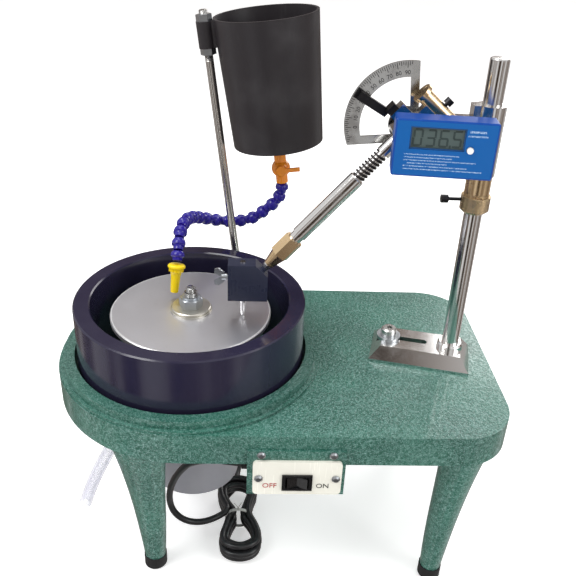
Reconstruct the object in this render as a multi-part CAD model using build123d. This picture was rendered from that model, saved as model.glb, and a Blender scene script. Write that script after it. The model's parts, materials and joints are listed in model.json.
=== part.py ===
"""Bench faceting machine for gemstones: a cast table on four legs, a flat lap in a splash ring,
a mast with a tilting quill and an angle display, and a water tank on a leaning pole.

Sizes are in millimetres. The row frame has its origin on the floor, under the middle of the
machine, with +X to the mast side, +Y to the back and +Z up. Most parts are drawn about the
spindle axis, with z = 0 at the table's top face, and SPINDLE_PLACE moves them into the row frame.
Tilted groups are drawn upright in a frame of their own and then placed.
"""

import os
from math import atan2, cos, degrees, pi, radians, sin, tan

from build123d import *

os.makedirs("parts", exist_ok=True)

# Table and drum
TABLE_HEIGHT = 200.0
TABLE_DEPTH = 250.0
TABLE_RIGHT = 289.0
CORNER_RADIUS = 49.0
APRON_DEPTH = 30.0
WALL = 6.0
TOP_THICKNESS = 7.0
PAN_RADIUS = 110.0
PAN_FLOOR_TOP = -20.0
COLLAR_RADIUS = 120.0
COLLAR_HEIGHT = 10.0
SPINDLE_PLACE = Pos(-83, -17, TABLE_HEIGHT)

# Legs: centre of the top section, its half widths and turn, and the centre of the foot
LEG_LEFT = {"top": (-39, -105), "half": (27, 13), "turn": -20, "foot": (-34, -83), "pad": (-31, -86)}
LEG_RIGHT = {"top": (252, -95), "half": (21, 21), "turn": 45, "foot": (240, -95), "pad": (229, -79)}
FOOT_RADIUS = 9.5
FOOT_CAP_RADIUS = 11.0
LEG_END = -194.0
PAD_THICKNESS = 8.0
BOLT_RADIUS = 3.0

# Splash ring, lap and spindle
RING_OUTER = 107.0
RING_INNER = 92.0
RING_TOP = 61.0
LAP_RADIUS = 75.0
LAP_TOP = 47.0
LAP_THICKNESS = 4.5
SPINDLE_RADIUS = 6.0
RUNNING_GAP = 0.05
TOUCH_GAP = 0.3
MOTOR_RADIUS = 45.0
MOTOR_BOTTOM = -150.0
DRAIN = (-66, -46)

# Switch box
BOX_LEFT = 56.0
BOX_WIDTH = 84.0
BOX_FRONT = -127.0
BOX_DEPTH = 34.0
BOX_TOP = -13.5
BOX_BOTTOM = -62.0
SWITCH_X = 99.0
SWITCH_Z = -46.0
ROCKER_PIN_RADIUS = 1.2
BOX_SCREWS = (68.0, 129.0)
PLATE_SCREWS = (SWITCH_X - 33, SWITCH_X + 33)
PLATE_Z = -41.7

# Mast and its sliding base
MAST = (250, -5)
MAST_RADIUS = 8.0
MAST_TOP = 287.0
BASE_TURN = -14.0
BASE_BOTTOM_SIZE = (95.3, 51.4)
BASE_TOP_SIZE = (76.0, 36.0)
BASE_HEIGHT = 14.0
BASE_SLIDE_GAP = 0.1
MAST_ALONG_BASE = 27.5
CLAMP_ALONG_BASE = -32.0
SLOT_FROM = -43.0
SLOT_TO = 6.0
SLOT_WIDTH = 7.0

# Head on the mast
COLLAR_BOTTOM = 156.0
COLLAR_TOP = 190.0
COLLAR_SCREW_Z = 167.0
SLEEVE_BOTTOM = 190.3
SLEEVE_TOP = 250.0
SLEEVE_RADIUS = 12.0
PIVOT = (183, 229)
QUILL_Y = -8.0
QUADRANT_Y = 3.0
QUADRANT_RADIUS = 52.0
QUADRANT_BAND = 13.0
QUADRANT_TURN = 5.0
DISPLAY_CENTRE = (206.5, -37, 223.4)
DISPLAY_SIZE = (80.0, 18.0, 46.0)
DISPLAY_TURN = -6.0
WINDOW = (-6.5, 8.5)
WINDOW_SIZE = (43.0, 18.0)
BUTTON = (19.5, 1.0)

# Quill, drawn with +Z from the tilt pivot to the tip and +X up and to the left
QUILL_ANGLE = 49.0
SOCKET_END = 28.6
TUBE_START = 58.6
TUBE_END = 130.0
NUT_START = 136.0
NUT_END = 156.0
TIP = 176.0
TUBE_RADIUS = 7.0
SHAFT_RADIUS = 4.0
STEM_RADIUS = 3.0
SPRING_RADIUS = 5.1
SPRING_WIRE = 0.9
SPRING_TURNS = 8
DOP_X = 48.3
DOP_RADIUS = 2.5
ADAPTER_BOX = ((35.0, 71.0), (66.0, 102.0))
ADAPTER_THICKNESS = 16.0
WING_SCREW_Z = 87.0

# Water tank on its leaning pole, drawn upright with the pole on the local Z axis
POLE_FOOT = (44.2, 115)
POLE_LEAN = -7.2
POLE_RADIUS = 4.0
POLE_TOP = 300.0
POLE_BOSS_RADIUS = 9.0
POLE_BOSS_TOP = 11.5
TANK_X = 57.5
TANK_TOP = 292.0
TANK_BOTTOM = 170.0
TANK_TOP_RADIUS = 49.5
TANK_BOTTOM_RADIUS = 44.5
TANK_WALL = 2.5
VALVE_BALL_Z = 142.0
VALVE_END_Z = 127.0

# Segmented water hose: one bead between each pair of points
HOSE_POINTS = [
    (85.4, 115, 132.2),
    (84.9, 116, 121.3),
    (80, 118.5, 110),
    (69.5, 121.5, 100),
    (60.5, 125, 90),
    (48.5, 128, 83.5),
    (34.5, 129.3, 81),
    (21, 127, 82.5),
    (10.5, 119, 87.5),
    (2.5, 108, 93.5),
    (-3, 96, 99.5),
    (-7, 83, 104.5),
    (-10.5, 69.5, 107),
    (-13, 55.5, 106),
    (-14, 42.5, 100.5),
    (-14.3, 33, 92),
    (-14.9, 27.6, 83.5),
]
HOSE_BEAD_RADIUS = 6.6
BEAD_GAP = 0.5
NOZZLE_END = (-17.9, 20.5, 53.5)
NOZZLE_FLANGE_RADIUS = 8.5

# Cords, in the row frame
CORD_DIAMETER = 6.5
CORD_ROUTE = [
    (-49, -115, 150),
    (-60, -114.5, 149),
    (-71, -111, 144.5),
    (-81, -104.5, 135),
    (-89, -96.5, 119.5),
    (-96, -88.5, 102),
    (-102, -81.5, 82),
    (-104.5, -77, 61),
    (-101, -74, 41),
    (-90.5, -72, 26.5),
    (-75, -69.5, 20.5),
    (-55, -65, 19),
]
TAIL_ROUTE = [
    (-38, 1, 5),
    (-40, 13, 3.6),
    (-39, 27, 4.5),
    (-36, 40, 11),
]
DRAIN_DIAMETER = 12.0
DRAIN_ROUTE = [
    (-149, -63, 152),
    (-152, -66, 137),
    (-160, -70, 119),
    (-170, -74, 100),
    (-179.5, -76.5, 79),
    (-187, -77.5, 57),
]
HANK_HEIGHT = 24.0


def ring(outer, inner, low, high):
    """An upright tube from z = low to z = high about the local Z axis."""
    return extrude(Pos(0, 0, low) * (Circle(outer) - Circle(inner)), high - low)


def rod(radius, low, high):
    """An upright cylinder from z = low to z = high."""
    return extrude(Pos(0, 0, low) * Circle(radius), high - low)


def block(x_span, y_span, z_span):
    """A box given by its span along each axis."""
    spans = (x_span, y_span, z_span)
    centre = [(low + high) / 2 for low, high in spans]
    return Pos(*centre) * Box(*[high - low for low, high in spans])


def hexagon(across_flats, low, high):
    """An upright hexagonal prism."""
    return extrude(Pos(0, 0, low) * RegularPolygon(across_flats / 2, 6, major_radius=False), high - low)


def turned(points):
    """A solid turned about the local Z axis from an outline of (radius, z) points."""
    outline = make_face(Polyline(*[(r, 0, z) for r, z in points], close=True))
    return revolve(outline, Axis.Z)


def mirrored_pair(shape):
    """A shape and its mirror image across the machine's long centre plane."""
    return [shape, mirror(shape, Plane.XZ)]


# ---------------------------------------------------------------- table


def table_outline(inset=0.0):
    """The table seen from above: round at the drum, with two rounded corners at the mast end."""
    half = TABLE_DEPTH / 2 - inset
    right = TABLE_RIGHT - inset
    plan = Circle(half) + Pos(right / 2, 0) * Rectangle(right, 2 * half)
    return fillet(plan.vertices().group_by(Axis.X)[-1], CORNER_RADIUS - inset)


def leg_bolt_places(leg):
    """The two bolts through a leg's pad, across the line from the pad to the leg."""
    (x, y), (tx, ty) = leg["pad"], leg["top"]
    along = atan2(ty - y, tx - x) + pi / 2
    return [(x + side * 11 * cos(along), y + side * 11 * sin(along)) for side in (-1, 1)]


def bolt_places():
    """Every frame bolt: two for each leg and four for the motor."""
    places = [p for leg in (LEG_LEFT, LEG_RIGHT) for p in leg_bolt_places(leg)]
    places += [(x, -y) for x, y in places]
    motor = [(35 * cos(a), 35 * sin(a)) for a in (pi / 4, 3 * pi / 4, 5 * pi / 4, 7 * pi / 4)]
    return places, motor


def base_casting():
    """The green casting: table top with apron, drum pan with its collar, hub and corner bosses."""
    body = Pos(0, 0, -APRON_DEPTH) * extrude(table_outline(), APRON_DEPTH)
    hollow = table_outline(WALL) - Circle(PAN_RADIUS + 10)
    for side in (-1, 1):
        hollow -= Pos(235, side * 82) * Circle(34)
    hollow -= Pos(*clamp_place()) * Circle(12)
    hollow -= Pos(*POLE_FOOT) * Circle(12)
    body -= Pos(0, 0, -APRON_DEPTH) * extrude(hollow, APRON_DEPTH - TOP_THICKNESS)
    body -= rod(PAN_RADIUS, PAN_FLOOR_TOP, 1)
    body += ring(COLLAR_RADIUS, PAN_RADIUS, -1, COLLAR_HEIGHT)
    body += ring(COLLAR_RADIUS + 4, COLLAR_RADIUS - 1, -1, 2.5)
    body += ring(22, 17, PAN_FLOOR_TOP - 1, 22)
    body += pole_place() * rod(POLE_BOSS_RADIUS, -20, POLE_BOSS_TOP)
    body -= rod(17, -APRON_DEPTH - 1, 23)
    body -= Pos(*DRAIN) * rod(7, -APRON_DEPTH - 1, 0)
    for x, y in bolt_places()[0]:
        body -= Pos(x, y) * rod(BOLT_RADIUS, -APRON_DEPTH - 1, -APRON_DEPTH + 8)
    for x, y in bolt_places()[1]:
        body -= Pos(x, y) * rod(BOLT_RADIUS, -APRON_DEPTH - 1, 0)
    body -= Pos(*clamp_place()) * rod(4, -APRON_DEPTH - 1, 1)
    body -= pole_place() * rod(POLE_RADIUS, -60, 30)
    for x in BOX_SCREWS:
        body -= Pos(x, BOX_FRONT, -18) * Rot(-90, 0, 0) * rod(2, 0, 12)
    return body


def leg(shape):
    """A tapered cast leg with a bolting pad on its inner side."""
    tx, ty = shape["top"]
    fx, fy = shape["foot"]
    a, b = shape["half"]
    stations = [(0, 1.0), (0.14, 0.78), (0.45, 0.45), (1, 0)]
    sections = []
    for down, wide in stations:
        shift = 1 - (1 - down) ** 1.6
        x, y = tx + (fx - tx) * shift, ty + (fy - ty) * shift
        rx, ry = FOOT_RADIUS + (a - FOOT_RADIUS) * wide, FOOT_RADIUS + (b - FOOT_RADIUS) * wide
        z = -APRON_DEPTH + (LEG_END + APRON_DEPTH) * down
        sections.append(Pos(x, y, z) * Rot(0, 0, shape["turn"]) * Ellipse(rx, ry))
    body = loft(sections)
    px, py = shape["pad"]
    turn = degrees(atan2(ty - py, tx - px))
    pad = extrude(RectangleRounded(40, 38, 8), PAD_THICKNESS)
    body += Pos(px, py, -APRON_DEPTH - PAD_THICKNESS) * Rot(0, 0, turn) * pad
    for x, y in leg_bolt_places(shape):
        body -= Pos(x, y) * rod(BOLT_RADIUS, -APRON_DEPTH - PAD_THICKNESS - 1, -APRON_DEPTH)
        body -= Pos(x, y) * rod(6.5, -APRON_DEPTH - 40, -APRON_DEPTH - PAD_THICKNESS)
    return body


def rubber_feet():
    """Four rubber caps over the ends of the legs."""
    cup = rod(FOOT_CAP_RADIUS, -TABLE_HEIGHT, -186)
    cup = chamfer(cup.edges().group_by(Axis.Z)[0], 1.5)
    feet = []
    for shape in (LEG_LEFT, LEG_RIGHT):
        place = Pos(*shape["foot"])
        feet += mirrored_pair(place * cup - leg(shape))
    return feet


def frame_bolts():
    """Twelve equal socket screws: two under each leg's pad and four under the motor's flange."""
    screw = rod(5, -6, 0) + rod(BOLT_RADIUS, 0, 15) - hexagon(5, -6, -2)
    legs, motor = bolt_places()
    placed = [Pos(x, y, -APRON_DEPTH - PAD_THICKNESS) * screw for x, y in legs]
    return placed + [Pos(x, y, -APRON_DEPTH - 7) * screw for x, y in motor]


def drain_spout():
    """Flanged nipple through the pan floor, with a hose barb below."""
    spout = turned([
        (4, PAN_FLOOR_TOP + 2), (10, PAN_FLOOR_TOP + 2), (10, PAN_FLOOR_TOP), (7, PAN_FLOOR_TOP),
        (7, -34), (6, -38), (6, -48), (4, -48),
    ])
    return Pos(*DRAIN) * spout


def splash_ring():
    """The thick plastic ring that stands in the pan around the lap."""
    body = ring(RING_OUTER, RING_INNER, PAN_FLOOR_TOP, RING_TOP)
    body = chamfer(body.edges().group_by(Axis.Z)[-1], 1.2)
    return body


# ---------------------------------------------------------------- motor and lap


def motor_housing():
    """The motor's can with its top flange, and a closed lower end."""
    can = rod(MOTOR_RADIUS, MOTOR_BOTTOM, -37) - rod(MOTOR_RADIUS - 2.5, MOTOR_BOTTOM + 8, -42)
    can = chamfer(can.faces().sort_by(Axis.Z)[0].outer_wire().edges(), 4)
    can += rod(MOTOR_RADIUS, -37, -APRON_DEPTH)
    can -= rod(SPINDLE_RADIUS + 1.5, -43, -29)
    can -= rod(16, -APRON_DEPTH - 5, -29)
    for z in (-42, MOTOR_BOTTOM + 8):
        can += ring(17, 13, z - 7, z) if z > -100 else ring(17, 13, z, z + 7)
    for x, y in bolt_places()[1]:
        can -= Pos(x, y) * rod(BOLT_RADIUS, -43, -29)
        can -= Pos(x, y) * rod(5.2, -60, -37)
    return can


def motor_stator():
    """Laminated stack with twelve slots, pressed into the can."""
    stack = ring(MOTOR_RADIUS - 2.5, 25, -122, -66)
    for i in range(12):
        stack -= Rot(0, 0, 30 * i) * Pos(29, 0, -94) * Box(10, 6, 70)
    return stack


def ball_bearings():
    """Two equal ball bearings, one at each end of the motor."""
    race = ring(13, SPINDLE_RADIUS + RUNNING_GAP, 0, 7)
    groove = ring(11, 8.5, 5.5, 8)
    return [Pos(0, 0, z) * (race - groove) for z in (-49, MOTOR_BOTTOM + 8)]


def motor_rotor():
    """The armature on the spindle."""
    return ring(24, SPINDLE_RADIUS, -120, -68)


def spindle():
    """The shaft from the motor to the lap, with a stepped and slotted upper end."""
    shaft = rod(SPINDLE_RADIUS, MOTOR_BOTTOM + 9, 66) + rod(4.3, 66, 71)
    shaft = chamfer(shaft.edges().group_by(Axis.Z)[-1], 0.8)
    return shaft - Pos(0, 0, 71) * Box(20, 1.6, 5)


def lap_flange():
    """The hub under the lap."""
    return turned([
        (SPINDLE_RADIUS, 26), (13, 26), (13, 36), (28, 36), (28, LAP_TOP - LAP_THICKNESS),
        (SPINDLE_RADIUS, LAP_TOP - LAP_THICKNESS),
    ])


def lap_disc():
    """The flat lap."""
    disc = ring(LAP_RADIUS, SPINDLE_RADIUS, LAP_TOP - LAP_THICKNESS, LAP_TOP)
    return chamfer(disc.faces().sort_by(Axis.Z)[-1].outer_wire().edges(), 0.8)


def lap_washer():
    """The clamp washer, on a thinner brass ring of the same piece."""
    return turned([
        (SPINDLE_RADIUS, LAP_TOP), (19.5, LAP_TOP), (19.5, LAP_TOP + 2), (18.5, LAP_TOP + 2),
        (18.5, LAP_TOP + 3.6), (17.8, LAP_TOP + 4.2), (SPINDLE_RADIUS, LAP_TOP + 4.2),
    ])


def lap_nut():
    """The hexagon nut that holds the lap."""
    bottom = LAP_TOP + 4.2
    nut = hexagon(19, bottom, bottom + 9) & turned([
        (0, bottom), (10.2, bottom), (11, bottom + 1), (11, bottom + 8), (9.6, bottom + 9), (0, bottom + 9),
    ])
    return nut + ring(8, 5, bottom + 9, bottom + 11) - rod(SPINDLE_RADIUS, bottom, bottom + 12)


# ---------------------------------------------------------------- switch



def switch_box():
    """Folded sheet box under the apron, with a front flange on the apron's face."""
    right = BOX_LEFT + BOX_WIDTH
    back = BOX_FRONT + BOX_DEPTH
    front = block((BOX_LEFT, right), (BOX_FRONT, -125), (BOX_BOTTOM, BOX_TOP))
    shell = block((BOX_LEFT, right), (-125, back), (BOX_BOTTOM, -APRON_DEPTH))
    shell -= block((BOX_LEFT + 1.5, right - 1.5), (-126, back - 1.5), (BOX_BOTTOM + 1.5, -29))
    body = front + shell
    body -= block((SWITCH_X - 11, SWITCH_X + 11), (BOX_FRONT - 1, -124), (SWITCH_Z - 7, SWITCH_Z + 7))
    for x in BOX_SCREWS:
        body -= Pos(x, BOX_FRONT - 1, -18) * Rot(-90, 0, 0) * rod(2, 0, 4)
    for x in PLATE_SCREWS:
        body -= Pos(x, BOX_FRONT - 1, PLATE_Z) * Rot(-90, 0, 0) * rod(2, 0, 4)
    body -= gland_place() * rod(5, -10, 10)
    return body


def switch_plate():
    """The plastic cover plate with a rocker window."""
    face = RectangleRounded(76, 36.5, 4) - Rectangle(22, 14).moved(Pos(0, SWITCH_Z - PLATE_Z))
    plate = Pos(SWITCH_X, BOX_FRONT, PLATE_Z) * Rot(90, 0, 0) * extrude(face, 2.5)
    for x in PLATE_SCREWS:
        plate -= Pos(x, BOX_FRONT - 5, PLATE_Z) * Rot(-90, 0, 0) * rod(2, 0, 10)
    return plate


def switch_body():
    """The snap-in switch: bezel, case and two terminals."""
    y = BOX_FRONT
    bezel = block((SWITCH_X - 13, SWITCH_X + 13), (y - 4, y - 2.5), (SWITCH_Z - 8.5, SWITCH_Z + 8.5))
    case = block((SWITCH_X - 11, SWITCH_X + 11), (y - 2.5, y + 16), (SWITCH_Z - 7, SWITCH_Z + 7))
    well = block((SWITCH_X - 10, SWITCH_X + 10), (y - 5, y + 7), (SWITCH_Z - 6, SWITCH_Z + 6))
    pin_holes = Pos(SWITCH_X, y, SWITCH_Z) * rod(ROCKER_PIN_RADIUS + RUNNING_GAP, -6.8, 6.8)
    body = bezel + case - well - pin_holes
    for x in (-5, 5):
        body += block((SWITCH_X + x - 0.5, SWITCH_X + x + 0.5), (y + 16, y + 23), (SWITCH_Z - 2.5, SWITCH_Z + 2.5))
    return body


def rocker():
    """The rocker cap, tipped to its off side, on an upright pin line."""
    cap = Polyline((-8.6, -4.4), (0, -2.2), (8.6, -5.6), (7.8, 1), (0, 3.5), (-7.8, 1), close=True)
    body = Pos(0, 0, -5.5) * extrude(make_face(cap), 11) + rod(ROCKER_PIN_RADIUS, -6.6, 6.6)
    return Pos(SWITCH_X, BOX_FRONT, SWITCH_Z) * body


def switch_screws():
    """Four equal pan-head screws: two hold the box and two hold the plate."""
    screw = turned([(0, -2.2), (2.2, -2.2), (3.6, -0.9), (3.6, 0), (2, 0), (2, 9), (0, 9)])
    screw -= Pos(0, 0, -2.2) * Box(8, 0.9, 1.6)
    box = [Pos(x, BOX_FRONT, -18) * Rot(-90, 0, 0) * screw for x in BOX_SCREWS]
    return box + [Pos(x, BOX_FRONT - 2.5, PLATE_Z) * Rot(-90, 0, 0) * screw for x in PLATE_SCREWS]


def gland_place():
    """The cord's way out of the left side of the switch box, with local +Z pointing out of it."""
    return Pos(BOX_LEFT, -98, -50) * Rot(0, -90, 0)


def cord_gland():
    """Screwed collar with a tapered rubber strain relief, bored for the cord."""
    bore = CORD_DIAMETER / 2
    body = turned([(bore, -4), (5, -4), (5, 0), (8, 0), (8, 5), (6, 5), (4.2, 22), (bore, 22)])
    return gland_place() * body


# ---------------------------------------------------------------- mast


def base_place(along=0.0, height=0.0):
    """A place on the long centreline of the sliding base, measured from its middle."""
    turn = radians(BASE_TURN)
    x = MAST[0] + (along - MAST_ALONG_BASE) * cos(turn)
    y = MAST[1] + (along - MAST_ALONG_BASE) * sin(turn)
    return Pos(x, y, height) * Rot(0, 0, BASE_TURN)


def clamp_place():
    """Where the clamp bolt stands on the table."""
    place = base_place(CLAMP_ALONG_BASE).position
    return place.X, place.Y


def slotted_base():
    """The bevelled base with a clamping slot and a raised foot for the mast."""
    low = BASE_SLIDE_GAP
    body = extrude(Pos(0, 0, low) * Rectangle(*BASE_BOTTOM_SIZE), 2)
    sections = [Pos(0, 0, low + 2) * Rectangle(*BASE_BOTTOM_SIZE), Pos(0, 0, BASE_HEIGHT) * Rectangle(*BASE_TOP_SIZE)]
    body += loft(sections, ruled=True)
    middle, length = (SLOT_FROM + SLOT_TO) / 2, SLOT_TO - SLOT_FROM
    slot = Pos(middle, 0, -1) * extrude(SlotOverall(length, SLOT_WIDTH), BASE_HEIGHT + 2)
    body -= slot
    body += Pos(MAST_ALONG_BASE, 0) * turned([(0, 12), (12, 12), (12, 18), (10.5, 20), (0, 20)])
    body -= Pos(MAST_ALONG_BASE, 0) * rod(MAST_RADIUS, 2, 30)
    return base_place() * body


def clamp_bolt():
    """Button-headed bolt through the slot and the table, with a nut on its end below."""
    body = rod(7.5, 17.2, 25) + rod(3.35, -14, 17.2)
    body = chamfer(body.edges().group_by(Axis.Z)[-1], 1.5)
    body += hexagon(13, -37, -APRON_DEPTH) + rod(3.35, -41, -13)
    body -= hexagon(5, 21, 26)
    return Pos(*clamp_place()) * body


def clamp_washer():
    """The washer between the bolt head and the base."""
    washer = ring(11.5, 3.4, BASE_HEIGHT + 0.2, 17.2)
    return Pos(*clamp_place()) * washer


def mast():
    """The polished column."""
    column = rod(MAST_RADIUS, 2, MAST_TOP)
    column = chamfer(column.edges().group_by(Axis.Z)[-1], 1)
    return Pos(*MAST) * column


def height_collar():
    """The brass collar that the head stands on: a knurled grip with a smooth neck."""
    bore = MAST_RADIUS + RUNNING_GAP
    body = turned([
        (bore, COLLAR_BOTTOM), (10, COLLAR_BOTTOM), (12.7, COLLAR_BOTTOM + 2.5), (12.7, COLLAR_BOTTOM + 15),
        (12.2, COLLAR_BOTTOM + 15.5), (10.8, COLLAR_BOTTOM + 15.5), (10.8, COLLAR_TOP), (bore, COLLAR_TOP),
    ])
    body -= collar_screw_place() * rod(1.55, -1, 8)
    return Pos(*MAST) * body


def collar_screw_place():
    """The thumb screw's line through the collar, with local +Z pointing out to the left."""
    return Pos(-MAST_RADIUS - RUNNING_GAP, 0, COLLAR_SCREW_Z) * Rot(0, -90, 0)


def cap_screw(length, head=6.0):
    """A small socket cap screw along local Z, with its point at z = 0 and its head at the far end."""
    body = rod(1.5, 0, length) + rod(3.6, length, length + head)
    return body - hexagon(3, length + head - 3, length + head + 1)


def collar_screw():
    """The black thumb screw in the height collar."""
    return Pos(*MAST) * collar_screw_place() * Pos(0, 0, 0.3) * cap_screw(16)


def carriage():
    """The sleeve on the mast, with its arm to the tilt pivot and a lug for the display."""
    px, pz = PIVOT
    sleeve = Pos(*MAST) * rod(SLEEVE_RADIUS, SLEEVE_BOTTOM, SLEEVE_TOP)
    arm = block((px, MAST[0]), (QUADRANT_Y + 2, QUADRANT_Y + 9), (pz - 8, pz + 8))
    arm += Pos(px, QUADRANT_Y + 2, pz) * Rot(-90, 0, 0) * rod(10, 0, 7)
    clamp = block((234, MAST[0] - 6), (-11, 1), (206, SLEEVE_TOP))
    lug = block((238, 247), (-40, -12), (212, 240)) - display_place() * Box(*DISPLAY_SIZE)
    lug -= block((200, 260), (-60, -40.5), (200, 250))
    body = sleeve + arm + clamp + (lug & block((230, 260), (-34, 0), (200, 250)))
    body -= Pos(px, -30, pz) * Rot(-90, 0, 0) * rod(SHAFT_RADIUS, 0, 60)
    return body - Pos(*MAST) * rod(MAST_RADIUS + RUNNING_GAP, 180, 260)


def pivot_shaft():
    """The fixed shaft that the quill block tilts on."""
    px, pz = PIVOT
    body = rod(SHAFT_RADIUS, -29, QUADRANT_Y + 9) + rod(7, QUADRANT_Y + 9, QUADRANT_Y + 13)
    return Pos(px, 0, pz) * Rot(-90, 0, 0) * body


def quadrant():
    """The chrome angle scale: a band with two spokes and a hub, behind the quill block."""
    band = Circle(QUADRANT_RADIUS) - Circle(QUADRANT_RADIUS - QUADRANT_BAND)
    band &= Pos(-30, 20) * Rectangle(80, 70)
    lower = Pos(-24.5, -11.5) * Rectangle(46, 7)
    upper = Pos(6.5, 24) * Rectangle(7, 46)
    plate = band + lower + upper + Circle(15) - Circle(SHAFT_RADIUS)
    px, pz = PIVOT
    return Pos(px, QUADRANT_Y + 2, pz) * Rot(90, 0, 0) * Rot(0, 0, QUADRANT_TURN) * extrude(plate, 2)


# ---------------------------------------------------------------- display



def display_place():
    """The middle of the display box, turned a little towards the front."""
    return Pos(*DISPLAY_CENTRE) * Rot(0, 0, DISPLAY_TURN)


def display_housing():
    """The front shell with its window and a hole for the button."""
    x, y, z = DISPLAY_SIZE
    shell = Box(x, y, z)
    shell = fillet(shell.edges().filter_by(Axis.Y), 2)
    shell = chamfer(shell.faces().sort_by(Axis.Y)[0].edges(), 1)
    shell -= Pos(0, 2, 0) * Box(x - 4, y, z - 4)
    shell -= block((-x, x), (y / 2 - 2.5, y), (-z, z))
    shell -= Pos(WINDOW[0], -y / 2, WINDOW[1]) * Box(WINDOW_SIZE[0], 8, WINDOW_SIZE[1])
    shell -= Pos(BUTTON[0], -y / 2 - 1, BUTTON[1]) * Rot(-90, 0, 0) * rod(2.9, 0, 8)
    return display_place() * shell


def display_back():
    """The rear cover, bored for the pivot shaft, with a boss inside."""
    x, y, z = DISPLAY_SIZE
    cover = Pos(0, y / 2 - 1.25, 0) * Box(x, 2.5, z)
    cover = fillet(cover.edges().filter_by(Axis.Y), 2)
    px, pz = PIVOT
    placed = display_place() * cover
    return placed - Pos(px, -60, pz) * Rot(-90, 0, 0) * rod(SHAFT_RADIUS, 0, 60)


def display_module():
    """The liquid crystal glass on its circuit board, with the angle sensor's chip."""
    y = -DISPLAY_SIZE[1] / 2
    glass = Pos(WINDOW[0], y + 3.5, WINDOW[1]) * Box(44.5, 3, 21)
    board = Pos(0, y + 5.8, 0) * Box(72, 1.6, 39)
    chip = Pos(20, y + 7.5, -10) * Box(10, 1.8, 10)
    return display_place() * (glass + board + chip)


def display_button():
    """The push button beside the window."""
    y = -DISPLAY_SIZE[1] / 2
    body = Pos(BUTTON[0], y - 1.4, BUTTON[1]) * Rot(-90, 0, 0) * (rod(2.6, 0, 4.5) + rod(3.6, 3.7, 4.5))
    return display_place() * body


# ---------------------------------------------------------------- quill


def quill_place():
    """The tilt pivot, with local +Z along the quill to its tip and +X square to it, up and left."""
    px, pz = PIVOT
    return Pos(px, QUILL_Y, pz) * Rot(0, -(90 + QUILL_ANGLE), 0)


def quill_block():
    """The chrome block on the pivot, with the socket for the quill and a neck at the rear."""
    body = Box(22, 16, 22)
    body = chamfer(body.edges().filter_by(Axis.Y), 1.5)
    body += block((10, 20), (-7, 6), (-11, 3))
    body += rod(6.25, 10, SOCKET_END)
    body += block((-5, 5), (-5, 5), (-24, -10))
    body -= rod(SHAFT_RADIUS + RUNNING_GAP, 7, SOCKET_END + 1)
    body -= Pos(0, -20, 0) * Rot(-90, 0, 0) * rod(SHAFT_RADIUS + RUNNING_GAP, 0, 40)
    return quill_place() * body


def pointer():
    """The black pointer arm with a curved vernier plate that runs over the angle scale."""
    outer, inner = QUADRANT_RADIUS - 1, QUADRANT_RADIUS - QUADRANT_BAND - 3
    plate = Circle(outer) - Circle(inner)
    wedge = make_face(Polyline((0, 0), (70, -6), (70, 6), close=True))
    low = QUADRANT_Y - 2.1 - QUILL_Y
    vernier = Pos(0, low + 1.5, 0) * Rot(90, 0, 0) * extrude(plate & wedge, 1.5)
    bar = block((20.2, 49), (low - 5, low), (-3.6, 3.6))
    foot = block((20, 24), (low - 12, low), (-6, 3))
    return quill_place() * (Rot(0, -11, 0) * (vernier + bar) + foot - block((0, 20), (-20, 20), (-20, 20)))


def cross_cylinder():
    """The brass counterweight across the rear of the quill block."""
    body = rod(6.5, -22.5, 11) + rod(8.5, 11, 14.2)
    placed = Pos(0, 0, -27) * Rot(0, 90, 0) * body
    placed -= block((-5, 5), (-5, 5), (-24, -10))
    return quill_place() * (placed - cross_screw_place() * rod(1.55, 0, 20))


def cross_screw_place():
    """The screw's line in the counterweight, with local +Z pointing out to the rear."""
    return Pos(-8, 0, -27) * Rot(180, 0, 0)


def cross_screw():
    """The small black screw in the counterweight."""
    return quill_place() * cross_screw_place() * Pos(0, 0, 0.3) * cap_screw(7.2, 5.0)


def quill_shaft():
    """The inner shaft, which turns in the block's socket and carries the tube."""
    return quill_place() * (rod(SHAFT_RADIUS, 7.5, 108) - Pos(0, 0, 108) * rod(2, -10, 1))


def quill_tube():
    """The chrome tube that slides on the shaft, with a threaded nose for the collet nut."""
    body = rod(TUBE_RADIUS, TUBE_START, TUBE_END) + rod(6, TUBE_END, NUT_START + 8)
    body = chamfer(body.edges().group_by(Axis.Z)[0], 0.6)
    body -= rod(SHAFT_RADIUS + RUNNING_GAP, TUBE_START - 1, 122)
    body -= rod(4, 128, NUT_START + 9)
    return quill_place() * body


def quill_spring():
    """The compression spring between the socket and the tube."""
    low, high = SOCKET_END + 0.3 + SPRING_WIRE, TUBE_START - 0.3 - SPRING_WIRE
    path = Helix((high - low) / SPRING_TURNS, high - low, SPRING_RADIUS)
    wire = sweep(Plane(path @ 0, z_dir=path % 0) * Circle(SPRING_WIRE), path=path, is_frenet=True)
    return quill_place() * Pos(0, 0, low) * wire


def collet_nut():
    """The brass hexagon nut with its long cone."""
    hexagonal = hexagon(16, NUT_START, NUT_END) & turned([
        (0, NUT_START), (8.6, NUT_START), (9.3, NUT_START + 1), (9.3, NUT_END), (0, NUT_END),
    ])
    cone = turned([(0, NUT_END), (7.8, NUT_END), (4.6, 170), (0, 170)])
    body = hexagonal + cone - rod(6, NUT_START - 1, NUT_START + 8) - rod(4, NUT_START, 171)
    return quill_place() * body


def collet():
    """The steel collet, split across its tip."""
    body = rod(4, 128, 171) + turned([(0, 171), (4, 171), (3.4, TIP - 2), (0, TIP - 2)])
    body -= rod(STEM_RADIUS, 150, TIP)
    return quill_place() * (body - Pos(0, 0, 170) * Box(0.8, 12, 16))


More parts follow.
